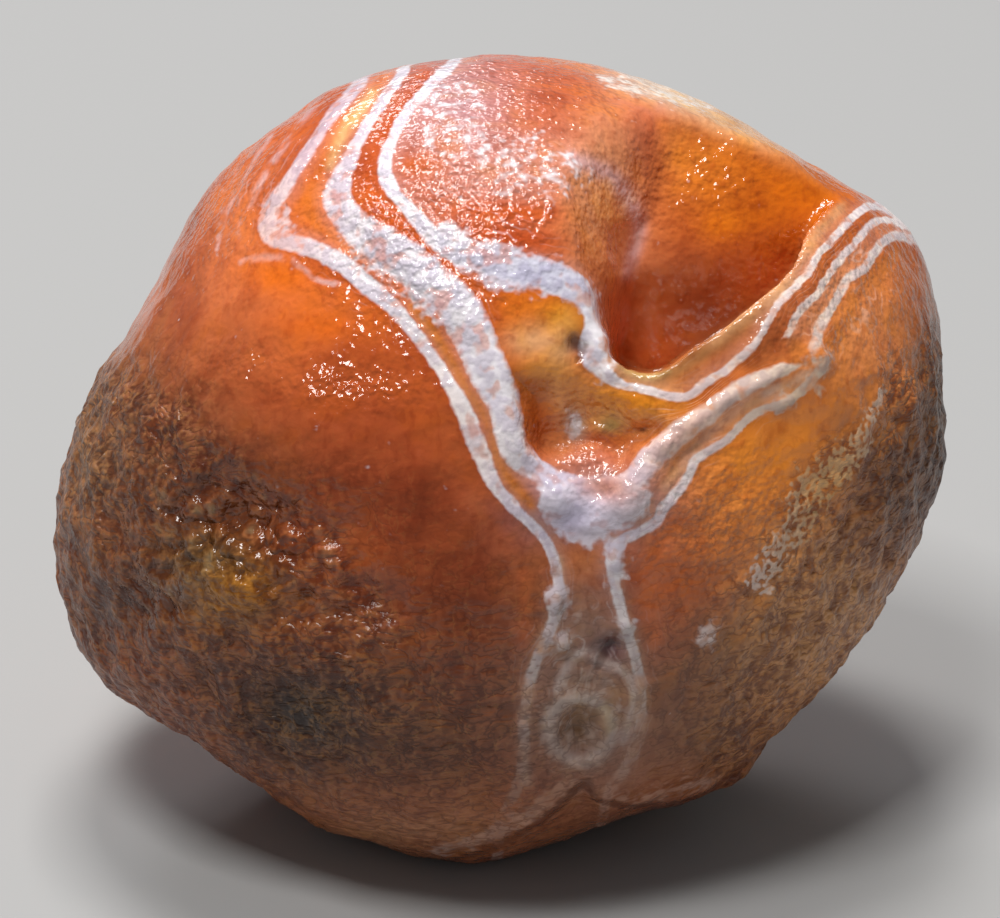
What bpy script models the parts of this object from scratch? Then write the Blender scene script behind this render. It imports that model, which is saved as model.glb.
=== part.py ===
"""A water-worn agate pebble with a scooped hollow, a banded brow and a small flat spot that it rests on.

The stone is worked out as a person looking at its banded face sees it: across the picture, up it, and out
of it towards the eye. Places on the face are pixels of the 1000 x 918 photograph. The finished form is then
leaned back, set down on its flat spot and kept as one closed skin.
"""

import math

import bmesh
import bpy
import numpy as np

MM = 0.001

# Size and placing
PIXEL = 0.0625 * MM                  # what one pixel of the photograph spans at the stone
FACE_CENTRE = np.array([500.0, 465.0])
VIEW_DISTANCE = 360 * MM             # from the eye to the stone's widest plane
FACE_LEAN = math.radians(28)         # the banded face leans back from upright
FRONT_DEPTH = 20.0 * MM              # from the widest plane out to the face
BACK_DEPTH = 19.0 * MM
FULLNESS = 2.15                      # 2 is an ellipse, and more is squarer
REST_HEIGHT = 22.4 * MM              # the face's centre above the flat spot
REST_SOFTNESS = 0.5 * MM             # how gently the flat spot's rim rolls up
SHIFT = np.array([0.0, -0.3]) * MM   # puts the origin under the middle of the stone

# Skin
GRID = 28                            # quads along each side of the six patches
FACE_CROWDING = 0.66                 # under 1 draws the quads towards the banded face
OUTLINE_HARMONICS = 5                # the outline's broad form, which runs all round the stone
DENT_REACH = 5.0 * MM                # how far its small dents run to the front and back
PATH_STEPS = 6

# The stone's outline in the photograph, clockwise from its left end
OUTLINE = np.array([
    (55, 540), (58, 492), (69, 447), (84, 409), (103, 370), (131, 328), (153, 290), (172, 250),
    (199, 202), (233, 161), (278, 126), (331, 91), (400, 67), (460, 58), (505, 55), (560, 60),
    (610, 69), (660, 85), (720, 110), (778, 145), (830, 176), (872, 199), (905, 227), (925, 262),
    (936, 305), (940, 350), (941, 398), (945, 432), (941, 476), (924, 524), (898, 578), (866, 632),
    (828, 680), (786, 723), (757, 757), (728, 786), (690, 801), (642, 812), (598, 826), (555, 842),
    (510, 857), (465, 862), (420, 857), (372, 843), (325, 830), (284, 803), (242, 774), (196, 741),
    (158, 718), (120, 699), (93, 670), (74, 632), (61, 592),
], float)

# Rounded swells and dips of the face: pixel, radii in pixels, turn in degrees, height
SWELLS = {
    "boss": ((510, 190), (120, 115), 0, 1.8 * MM),
    "left shoulder": ((265, 400), (140, 150), 0, 1.1 * MM),
    "banded brow": ((790, 335), (55, 150), -38, 1.5 * MM),
    "belly": ((400, 700), (190, 100), 0, 0.7 * MM),
    "right flank": ((850, 570), (80, 120), -25, -0.9 * MM),
    "valley": ((575, 455), (48, 130), 12, -1.5 * MM),
    "stem groove": ((585, 640), (34, 90), 0, -0.7 * MM),
    "eye dish": ((582, 728), (36, 40), 0, -0.5 * MM),
    "left heel dent": ((118, 625), (40, 30), 0, -1.1 * MM),
    "crust dent": ((215, 512), (58, 34), -20, -0.9 * MM),
    "crust socket": ((292, 718), (52, 40), 0, -0.8 * MM),
    "crust knob": ((232, 590), (52, 32), 10, 0.6 * MM),
}

# The scooped hollow: its rim as (pixel x, pixel y, width of the rim's roll, how far the wall tucks
# under the rim, both in pixels), clockwise
HOLLOW_RIM = np.array([
    (600, 96, 100, 0), (566, 160, 104, 0), (560, 226, 96, 0), (578, 286, 64, 0), (594, 334, 38, 4),
    (614, 366, 24, 14), (655, 374, 18, 17), (688, 352, 16, 18), (722, 330, 16, 18),
    (764, 298, 16, 18), (794, 268, 16, 17), (812, 230, 18, 14), (838, 206, 20, 8), (876, 186, 26, 0),
    (960, 150, 40, 0), (900, 30, 90, 0), (720, -20, 90, 0), (640, 20, 95, 0),
], float)
TUCK_REACH = 60.0                           # pixels in from the rim over which the tuck fades
HOLLOW_DEEPEST = np.array([668.0, 330.0])
HOLLOW_OPENING = np.array([640.0, 222.0])   # a pixel straight up the floor from there
HOLLOW_FLOOR = 7.4 * MM                     # how far out the floor lies at its deepest pixel
HOLLOW_RISE = 0.55                          # how steeply the floor climbs from there to its lip
LIP_DISTANCE = 4.2 * MM                     # from the deepest pixel to the lip
LIP_FALL = 0.20                             # how steeply the floor drops beyond the lip
LIP_SOFTNESS = 0.9 * MM
HOLLOW_SOFTNESS = 1.2 * MM                   # how gently the floor meets the stone's dome
HOLLOW_SAG = 0.030 / MM                     # how quickly the floor curves up to the left
HOLLOW_TILT = 0.25                          # how steeply it falls away to the right

# Smaller sunk places: rim as (pixel x, pixel y, width of the roll), then depth
BASINS = {
    "amber pocket": (np.array([
        (504, 366, 38), (508, 416, 34), (522, 454, 24), (556, 466, 20), (590, 462, 20), (622, 474, 20),
        (646, 454, 22), (670, 432, 28), (650, 400, 36), (600, 388, 40), (556, 366, 40),
    ], float), 1.3 * MM),
    "bottom notch": (np.array([
        (584, 778, 16), (608, 812, 16), (640, 850, 20), (560, 890, 26), (470, 880, 26), (520, 836, 18),
        (556, 804, 16),
    ], float), 1.5 * MM),
}

# Ledges of the banding: crest as (pixel x, pixel y), half-width in pixels and height
LEDGES = {
    "upper brow ledge": (np.array([(868, 214), (828, 246), (810, 280), (776, 318), (752, 352)], float), 12, 0.35 * MM),
    "middle brow ledge": (np.array([(880, 228), (842, 262), (818, 300), (792, 336)], float), 12, 0.35 * MM),
    "lower brow ledge": (np.array([(893, 244), (856, 280), (838, 318), (816, 350)], float), 12, 0.3 * MM),
    "valley ledge": (np.array([(786, 372), (742, 392), (702, 418), (664, 450), (640, 486)], float), 18, 0.55 * MM),
    "left band ledge": (np.array([(352, 200), (396, 252), (468, 318), (504, 382), (524, 440)], float), 20, 0.4 * MM),
    "quartz lump": (np.array([(556, 492), (590, 496), (626, 496)], float), 26, 0.8 * MM),
}

# Swells of the far side: pixel as if seen through the stone, radii, turn, height
BACK_SWELLS = {
    "upper keel": ((420, 300), (260, 110), 20, 1.6 * MM),
    "left hip": ((250, 610), (120, 100), 0, 1.2 * MM),
    "back hollow": ((600, 520), (90, 70), 20, -1.5 * MM),
    "back knob": ((650, 250), (80, 70), 0, 1.0 * MM),
    "back dent": ((350, 470), (56, 46), 0, -1.2 * MM),
    "small dent": ((480, 640), (40, 34), 0, -0.8 * MM),
}

# Worn facets of the far side: the way each faces (across, up, out), then how deep it cuts
FACETS = {
    "right heel": ((0.66, -0.42, -0.62), 1.8 * MM),
    "left heel": ((-0.52, -0.46, -0.72), 1.4 * MM),
    "upper right": ((0.48, 0.56, -0.68), 1.8 * MM),
    "upper left": ((-0.62, 0.40, -0.67), 1.5 * MM),
    "rear": ((0.08, 0.02, -1.0), 1.0 * MM),
}
FACET_SOFTNESS = 0.45 * MM           # how gently a facet's edge rolls

# Pits of the rough crust
PIT_SEED = 7
PIT_COUNT = 40
PIT_RADII = (16, 32)                 # pixels
PIT_DEPTHS = (0.12 * MM, 0.40 * MM)
PIT_FIELD = ((230, 600), (170, 130)) # middle and radii of the crust that they lie in


def clear_scene():
    """Removes whatever the file opened with."""
    for obj in list(bpy.data.objects):
        bpy.data.objects.remove(obj)


def smooth_path(points, closed):
    """A smooth curve through the points, with any further columns carried along it (Catmull-Rom)."""
    if closed:
        padded = np.vstack([points[-1:], points, points[:2]])
    else:
        padded = np.vstack([2 * points[:1] - points[1:2], points, 2 * points[-1:] - points[-2:-1]])
    before, start, end, after = (padded[i:len(padded) - 3 + i, None] for i in range(4))
    t = (np.arange(PATH_STEPS) / PATH_STEPS)[None, :, None]
    curve = start + 0.5 * t * (end - before
                               + t * (2 * before - 5 * start + 4 * end - after
                                      + t * (3 * (start - end) + after - before)))
    curve = curve.reshape(-1, points.shape[1])
    return np.vstack([curve, points[:1] if closed else points[-1:]])


def nearest_on_path(places, path):
    """For each place, its distance to the path in pixels, the nearest point, and the path's further columns there."""
    start, step = path[:-1], np.diff(path, axis=0)
    along = ((places[:, None] - start[None, :, :2]) * step[None, :, :2]).sum(2)
    along = np.clip(along / np.maximum((step[:, :2] ** 2).sum(1), 1e-9), 0, 1)
    feet = start[None] + along[..., None] * step[None]
    distance = np.linalg.norm(places[:, None] - feet[..., :2], axis=2)
    best = distance.argmin(1)
    rows = np.arange(len(places))
    return distance[rows, best], feet[rows, best, :2], feet[rows, best, 2:]


def inside(places, path):
    """True for each place that the closed path goes round."""
    x, y = places[:, None, 0], places[:, None, 1]
    x0, y0, x1, y1 = path[:-1, 0], path[:-1, 1], path[1:, 0], path[1:, 1]
    spans = (y0 > y) != (y1 > y)
    crossing = x0 + (y - y0) * (x1 - x0) / np.where(y1 == y0, 1e-9, y1 - y0)
    return (spans & (x < crossing)).sum(1) % 2 == 1


def ease(amount):
    """0 below 0, 1 above 1, and a smooth step between."""
    amount = np.clip(amount, 0, 1)
    return amount * amount * (3 - 2 * amount)


def flattened(heights, softness):
    """What is left of each height above a plane once the plane cuts it, with a soft edge."""
    soft = np.clip((heights + softness) / (2 * softness), 0, 1)
    return np.where(heights > softness, heights, softness * soft ** 2)


def sunk(places, rim):
    """0 outside a rim, rising to 1 across the roll that the rim gives at each of its points."""
    path = smooth_path(rim, closed=True)
    distance, _, roll = nearest_on_path(places, path)
    return ease(distance / roll[:, 0]) * inside(places, path)


def tucked(places):
    """Draws the foot of the hollow's wall in under its rim, so that the rim hides the wall."""
    path = smooth_path(HOLLOW_RIM, closed=True)
    distance, feet, shape = nearest_on_path(places, path)
    roll, tuck = shape.T
    pull = tuck * ease(distance / roll) * np.exp(-(distance / TUCK_REACH) ** 2) * inside(places, path)
    return places + (feet - places) * (pull / np.maximum(distance, 1e-6))[:, None]


def swelling(places, swells):
    """The sum of the rounded swells at each place."""
    total = np.zeros(len(places))
    for middle, radii, turn, height in swells.values():
        offset = places - np.array(middle, float)
        c, s = math.cos(math.radians(turn)), math.sin(math.radians(turn))
        turned = np.column_stack([offset @ [c, s], offset @ [-s, c]]) / radii
        total += height * np.exp(-(turned ** 2).sum(1))
    return total


def outline_radii(angles):
    """The outline's distance from the face's centre at each angle, and how much of it is small dents, in metres."""
    path = smooth_path(OUTLINE, closed=True)[:-1]
    across, up = ((path - FACE_CENTRE) * (PIXEL, -PIXEL)).T
    turn, radius = np.arctan2(up, across), np.hypot(across, up)
    even = np.linspace(-math.pi, math.pi, 720, endpoint=False)
    order = np.argsort(turn)
    full = np.interp(even, turn[order], radius[order], period=2 * math.pi)
    waves = np.fft.rfft(full)
    waves[OUTLINE_HARMONICS + 1:] = 0
    broad = np.fft.irfft(waves, len(even))
    return (np.interp(angles, even, broad, period=2 * math.pi),
            np.interp(angles, even, full - broad, period=2 * math.pi))


def pits(places):
    """Small round pits scattered over the rough crust."""
    random = np.random.default_rng(PIT_SEED)
    turn = random.uniform(0, 2 * math.pi, PIT_COUNT)
    reach = np.sqrt(random.uniform(0, 1, PIT_COUNT))
    middle, radii = np.array(PIT_FIELD, float)
    centres = middle + np.column_stack([np.cos(turn), np.sin(turn)]) * reach[:, None] * radii
    sizes = random.uniform(*PIT_RADII, PIT_COUNT)
    depths = random.uniform(*PIT_DEPTHS, PIT_COUNT)
    far = np.linalg.norm(places[:, None] - centres[None], axis=2) / sizes
    return -(depths * np.exp(-far ** 2)).sum(1)


def face_relief(places, dome):
    """How far the face stands above the plain dome at each place, in metres."""
    relief = swelling(places, SWELLS) + pits(places)
    for rim, depth in BASINS.values():
        relief -= depth * sunk(places, rim)
    for crest, half_width, height in LEDGES.values():
        distance, _, _ = nearest_on_path(places, smooth_path(crest, closed=False))
        relief += height * np.exp(-(distance / half_width) ** 2)
    opening = (HOLLOW_OPENING - HOLLOW_DEEPEST) / np.linalg.norm(HOLLOW_OPENING - HOLLOW_DEEPEST)
    offset = (places - HOLLOW_DEEPEST) * PIXEL
    along, beside = offset @ opening, offset @ [-opening[1], opening[0]]
    floor = HOLLOW_FLOOR + HOLLOW_RISE * along
    beyond = HOLLOW_FLOOR + HOLLOW_RISE * LIP_DISTANCE - LIP_FALL * (along - LIP_DISTANCE)
    floor -= flattened(floor - beyond, LIP_SOFTNESS)
    floor += HOLLOW_SAG * np.minimum(beside, 0) ** 2 - HOLLOW_TILT * np.maximum(beside, 0)
    over = flattened(dome + relief - floor, HOLLOW_SOFTNESS)
    return relief - over * sunk(places, HOLLOW_RIM)


def worn(points):
    """Grinds the far side's facets into the stone."""
    for facing, cut in FACETS.values():
        normal = np.array(facing) / np.linalg.norm(facing)
        reach = points @ normal
        over = flattened(reach - (reach.max() - cut), FACET_SOFTNESS)
        points = points - over[:, None] * normal
    return points


def stone_form(directions):
    """The stone's skin in the direction of each unit vector (across, up, out), in metres, as the eye sees it."""
    across, up, out = directions.T
    turn, lean = np.arctan2(up, across), np.hypot(across, up)
    size = (lean ** FULLNESS + np.abs(out) ** FULLNESS) ** (-1 / FULLNESS)
    dome = np.where(out > 0, FRONT_DEPTH, BACK_DEPTH) * out * size
    broad, dents = outline_radii(turn)
    radius = (broad + dents * np.exp(-(dome / DENT_REACH) ** 2)) * lean * size
    seen = np.column_stack([radius * np.cos(turn), radius * np.sin(turn)])
    places = FACE_CENTRE + seen / (PIXEL, -PIXEL)
    front = ease(dome / (0.3 * FRONT_DEPTH))
    back = ease(-dome / (0.3 * BACK_DEPTH))
    depth = dome + front * face_relief(places, dome) - back * swelling(places, BACK_SWELLS)
    seen += (tucked(places) - places) * (PIXEL, -PIXEL) * front[:, None]
    # The eye is near enough for what is closer to look larger, so the skin narrows towards it
    seen *= ((VIEW_DISTANCE - depth) / VIEW_DISTANCE)[:, None]
    return worn(np.column_stack([seen, depth]))


def set_down(points):
    """Leans the face back, lifts the stone onto its flat spot and shifts it over the origin."""
    across, up, out = points.T
    c, s = math.cos(FACE_LEAN), math.sin(FACE_LEAN)
    height = flattened(up * c + out * s + REST_HEIGHT, REST_SOFTNESS)
    return np.column_stack([across + SHIFT[0], up * s - out * c + SHIFT[1], height])


def patch_sphere():
    """Six square patches of quads, blown up to a unit sphere and crowded towards the face (+Z)."""
    skin = bmesh.new()
    bmesh.ops.create_cube(skin, size=2)
    bmesh.ops.subdivide_edges(skin, edges=skin.edges[:], cuts=GRID - 1, use_grid_fill=True)
    return skin


def crowded(corners):
    """Unit vectors for the cube's points, evened out and drawn towards the face."""
    rounded = np.tan(corners * math.pi / 4)
    rounded /= np.linalg.norm(rounded, axis=1)[:, None]
    lean = np.hypot(rounded[:, 0], rounded[:, 1])
    from_face = 2 * np.arctan2(FACE_CROWDING * lean, 1 + rounded[:, 2])
    share = np.sin(from_face) / np.maximum(lean, 1e-9)
    return np.column_stack([rounded[:, 0] * share, rounded[:, 1] * share, np.cos(from_face)])


def stone_material():
    """The stone's plain finish: orange chalcedony with a wet gloss."""
    material = bpy.data.materials.new("agate")
    material.use_nodes = True
    shader = material.node_tree.nodes["Principled BSDF"]
    shader.inputs["Base Color"].default_value = (0.46, 0.13, 0.035, 1)
    shader.inputs["Roughness"].default_value = 0.32
    shader.inputs["Metallic"].default_value = 0.0
    return material


def build_stone():
    """The pebble: one closed solid."""
    skin = patch_sphere()
    corners = np.array([vertex.co for vertex in skin.verts])
    points = set_down(stone_form(crowded(corners)))
    for vertex, point in zip(skin.verts, points):
        vertex.co = point
    bmesh.ops.recalc_face_normals(skin, faces=skin.faces[:])
    mesh = bpy.data.meshes.new("agate_pebble")
    skin.to_mesh(mesh)
    skin.free()
    mesh.shade_smooth()
    mesh.materials.append(stone_material())
    stone = bpy.data.objects.new("agate_pebble", mesh)
    bpy.context.scene.collection.objects.link(stone)
    return stone


clear_scene()
build_stone()
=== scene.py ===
"""The finished look of a water-worn banded agate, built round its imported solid.

The stone is worked out as an eye sees its banded face: across the picture, up it, and out of it towards the
eye. Places on the face are pixels of the 1000 x 918 photograph, and depths are metres. The finished skin is
then leaned back and set down on its flat spot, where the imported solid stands.
"""

from __future__ import annotations

import itertools
import logging
import math
from dataclasses import dataclass
from enum import Enum

import bpy
import numpy as np
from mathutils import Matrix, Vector


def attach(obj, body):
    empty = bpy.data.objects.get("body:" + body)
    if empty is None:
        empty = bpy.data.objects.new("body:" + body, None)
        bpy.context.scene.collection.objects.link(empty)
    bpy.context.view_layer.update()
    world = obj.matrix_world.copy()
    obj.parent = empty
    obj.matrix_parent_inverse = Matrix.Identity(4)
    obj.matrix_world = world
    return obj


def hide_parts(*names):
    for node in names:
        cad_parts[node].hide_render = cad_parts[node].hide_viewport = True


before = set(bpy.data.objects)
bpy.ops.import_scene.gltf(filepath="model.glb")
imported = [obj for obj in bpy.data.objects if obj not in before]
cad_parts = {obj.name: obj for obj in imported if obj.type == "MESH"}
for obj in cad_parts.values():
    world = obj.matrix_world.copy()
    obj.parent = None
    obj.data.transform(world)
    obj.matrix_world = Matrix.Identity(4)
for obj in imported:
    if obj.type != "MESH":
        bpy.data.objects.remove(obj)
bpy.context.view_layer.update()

LOG = logging.getLogger("agate")
MM = 0.001
NODE = "agate_pebble"
FAR = 1e6


class Side(Enum):
    """Which side of a path, as one travels along it in the picture, counts as positive."""

    LEFT = -1.0
    RIGHT = 1.0


class Blend(Enum):
    """How the second of two mixed colours is laid on the first."""

    COVER = "MIX"
    MULTIPLY = "MULTIPLY"


def linear(red: int, green: int, blue: int) -> tuple[float, float, float]:
    """The linear colour of a display colour of 0 to 255."""
    return tuple(
        part / 12.92 if part <= 0.04045 else ((part + 0.055) / 1.055) ** 2.4
        for part in (red / 255, green / 255, blue / 255)
    )


def ease(amount: np.ndarray) -> np.ndarray:
    """0 below 0, 1 above 1, and a smooth step between, 3a^2 - 2a^3."""
    amount = np.clip(amount, 0, 1)
    return amount * amount * (3 - 2 * amount)


def flattened(heights: np.ndarray, softness: float) -> np.ndarray:
    """What is left of each height above a plane once the plane cuts it, with a quadratic roll at the edge."""
    soft = np.clip((heights + softness) / (2 * softness), 0, 1)
    return np.where(heights > softness, heights, softness * soft**2)


def lattice_noise(points: np.ndarray, seed: int) -> np.ndarray:
    """Smooth random values from about -0.7 to 0.7.

    Every whole-number lattice point has a random slope. A point blends the slopes of its cell's eight
    corners, each taken along the way from the corner to the point.

    Args:
        points: an N x 3 array, one lattice cell to a unit.
        seed: picks the slopes.

    Returns:
        N values.
    """
    slopes = np.random.default_rng(seed).normal(size=(1024, 3))
    slopes /= np.linalg.norm(slopes, axis=1)[:, None]
    cell = np.floor(points).astype(np.int64)
    part = points - cell
    blend = part**3 * (part * (6 * part - 15) + 10)
    total = np.zeros(len(points))
    for corner in itertools.product((0, 1), repeat=3):
        x, y, z = (cell + corner).T
        pick = (x * 73856093 ^ y * 19349663 ^ z * 83492791) & 1023
        weight = np.prod(np.where(corner, blend, 1 - blend), axis=1)
        total += weight * (slopes[pick] * (part - corner)).sum(1)
    return total


def layered_noise(points: np.ndarray, seed: int, layers: int, ridged: bool = False) -> np.ndarray:
    """Noise of several scales, each half as wide and half as high as the one before.

    Args:
        points: an N x 3 array, one cell of the widest layer to a unit.
        seed: picks the random slopes.
        layers: how many scales are added.
        ridged: folds each layer at 0, which gives sharp creases.

    Returns:
        N values, about -0.7 to 0.7, or about 0 to 1 where ridged.
    """
    total = np.zeros(len(points))
    for layer in range(layers):
        value = lattice_noise(points * 2**layer, seed + layer)
        total += (np.abs(value) if ridged else value) / 2**layer
    return total


@dataclass(frozen=True)
class Nearest:
    """For each place: its distance to a path, the nearest point, the side it lies on and the values there."""

    distance: np.ndarray
    feet: np.ndarray
    side: np.ndarray
    values: np.ndarray


@dataclass(frozen=True)
class Path:
    """A smooth curve in the picture through given points, which carry further values along it."""

    points: np.ndarray
    closed: bool = False
    steps: int = 5
    block: int = 4096

    def curve(self) -> np.ndarray:
        """Draws the curve: a Catmull-Rom cubic between each two given points.

        Returns:
            A dense row of points along it, with their carried values.
        """
        points = self.points
        if self.closed:
            padded = np.vstack([points[-1:], points, points[:2]])
        else:
            padded = np.vstack([2 * points[:1] - points[1:2], points, 2 * points[-1:] - points[-2:-1]])
        before, start, end, after = (padded[i : len(padded) - 3 + i, None] for i in range(4))
        t = (np.arange(self.steps) / self.steps)[None, :, None]
        cubic = t * (3 * (start - end) + after - before)
        square = t * (2 * before - 5 * start + 4 * end - after + cubic)
        row = (start + 0.5 * t * (end - before + square)).reshape(-1, points.shape[1])
        return np.vstack([row, points[:1] if self.closed else points[-1:]])

    def nearest(self, places: np.ndarray) -> Nearest:
        """Finds the nearest point of the curve to each place.

        The foot of each place on each straight step is where the step's own direction meets it squarely,
        held between the step's ends. The side is the sign of the cross product of step and offset.

        Args:
            places: N x 2 pixels.

        Returns:
            The distances, feet, sides and carried values, N of each.
        """
        curve = self.curve()
        start, step = curve[:-1], np.diff(curve, axis=0)
        squared = np.maximum((step[:, :2] ** 2).sum(1), 1e-9)
        found = []
        for block in np.array_split(places, max(1, len(places) // self.block)):
            offset = block[:, None] - start[None, :, :2]
            along = np.clip((offset * step[None, :, :2]).sum(2) / squared, 0, 1)
            away = offset - along[..., None] * step[None, :, :2]
            distance = np.hypot(away[..., 0], away[..., 1])
            best = distance.argmin(1)
            rows = np.arange(len(block))
            foot = start[best] + along[rows, best, None] * step[best]
            cross = step[best, 0] * away[rows, best, 1] - step[best, 1] * away[rows, best, 0]
            found.append(np.column_stack([distance[rows, best], np.where(cross < 0, -1.0, 1.0), foot]))
        table = np.vstack(found)
        return Nearest(table[:, 0], table[:, 2:4], table[:, 1], table[:, 4:])

    def around(self, places: np.ndarray) -> np.ndarray:
        """Finds the places that the closed curve goes round, by counting its crossings to their right.

        Args:
            places: N x 2 pixels.

        Returns:
            N truths.
        """
        curve = self.curve()
        x0, y0, x1, y1 = curve[:-1, 0], curve[:-1, 1], curve[1:, 0], curve[1:, 1]
        rise = np.where(y1 == y0, 1e-9, y1 - y0)
        found = []
        for block in np.array_split(places, max(1, len(places) // self.block)):
            x, y = block[:, None, 0], block[:, None, 1]
            spans = (y0 > y) != (y1 > y)
            found.append((spans & (x < x0 + (y - y0) * (x1 - x0) / rise)).sum(1) % 2 == 1)
        return np.concatenate(found)

    def depth_in(self, places: np.ndarray) -> np.ndarray:
        """How far inside the closed curve each place lies, in pixels, and below 0 outside it."""
        return self.nearest(places).distance * np.where(self.around(places), 1, -1)


def path(*points: tuple[float, ...], closed: bool = False) -> Path:
    """A path through points given as pixel x, pixel y and any further values."""
    return Path(np.array(points, float), closed)


@dataclass(frozen=True)
class Patch:
    """A soft oval in the picture: 1 in the middle, and falling off as exp(-r^2) over its radii."""

    middle: tuple[float, float]
    radii: tuple[float, float]
    turn: float = 0.0

    def at(self, places: np.ndarray) -> np.ndarray:
        """Works out how strongly the patch covers each place.

        Args:
            places: N x 2 pixels.

        Returns:
            N shares, 0 to 1.
        """
        offset = places - np.array(self.middle, float)
        c, s = math.cos(math.radians(self.turn)), math.sin(math.radians(self.turn))
        turned = np.column_stack([offset @ [c, s], offset @ [-s, c]]) / self.radii
        return np.exp(-(turned**2).sum(1))


@dataclass(frozen=True)
class Swell:
    """A rounded swell of the skin, or a dip where its height is below 0."""

    patch: Patch
    height: float


@dataclass(frozen=True)
class Basin:
    """A sunk place: its rim carries the width of the rim's roll in pixels."""

    rim: Path
    depth: float

    def sunk(self, places: np.ndarray) -> np.ndarray:
        """0 outside the rim, rising to 1 across the rim's roll."""
        near = self.rim.nearest(places)
        return ease(near.distance / near.values[:, 0]) * self.rim.around(places)


@dataclass(frozen=True)
class Ledge:
    """A low rounded ridge along a path, exp(-d^2) across its half-width in pixels."""

    crest: Path
    half_width: float
    height: float


@dataclass(frozen=True)
class Pits:
    """Small round pits scattered over an oval of the face: their radii are pixels."""

    seed: int = 7
    count: int = 40
    radii: tuple[float, float] = (16.0, 32.0)
    depths: tuple[float, float] = (0.12 * MM, 0.40 * MM)
    middle: tuple[float, float] = (230.0, 600.0)
    field: tuple[float, float] = (170.0, 130.0)

    def relief(self, places: np.ndarray) -> np.ndarray:
        """Works out how far the pits lower each place: the sum of -depth * exp(-(distance/radius)^2).

        Args:
            places: N x 2 pixels.

        Returns:
            N heights in metres, 0 or less.
        """
        random = np.random.default_rng(self.seed)
        turn = random.uniform(0, 2 * math.pi, self.count)
        reach = np.sqrt(random.uniform(0, 1, self.count))
        centres = self.middle + np.column_stack([np.cos(turn), np.sin(turn)]) * reach[:, None] * self.field
        sizes = random.uniform(*self.radii, self.count)
        depths = random.uniform(*self.depths, self.count)
        relief = np.zeros(len(places))
        for centre, size, depth in zip(centres, sizes, depths):
            relief -= depth * np.exp(-(((places - centre) / size) ** 2).sum(1))
        return relief


@dataclass(frozen=True)
class Facet:
    """A worn flat of the far side: the way it faces, across, up and out, and how deep it cuts."""

    facing: tuple[float, float, float]
    cut: float


@dataclass(frozen=True)
class Sight:
    """How the eye sees the stone, and how the stone then stands."""

    pixel: float = 0.0625 * MM
    face_centre: tuple[float, float] = (500.0, 465.0)
    picture: tuple[int, int] = (1000, 918)
    distance: float = 360 * MM
    lean: float = math.radians(28)
    rest_height: float = 22.4 * MM
    rest_softness: float = 0.5 * MM
    shift: tuple[float, float] = (0.0, -0.3 * MM)

    def places(self, seen: np.ndarray) -> np.ndarray:
        """The pixels of places given in metres across and up from the face's centre."""
        return np.array(self.face_centre) + seen / (self.pixel, -self.pixel)

    def set_down(self, points: np.ndarray) -> np.ndarray:
        """Leans the face back, lifts the stone onto its flat spot and shifts it over the origin.

        Args:
            points: N x 3, across, up and out, in metres.

        Returns:
            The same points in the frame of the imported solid.
        """
        across, up, out = points.T
        c, s = math.cos(self.lean), math.sin(self.lean)
        height = flattened(up * c + out * s + self.rest_height, self.rest_softness)
        return np.column_stack([across + self.shift[0], up * s - out * c + self.shift[1], height])


@dataclass(frozen=True)
class Skin:
    """The stone's skin: its points as the eye sees them, and each one's pixel and depth on the plain dome."""

    points: np.ndarray
    places: np.ndarray
    dome: np.ndarray


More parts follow.
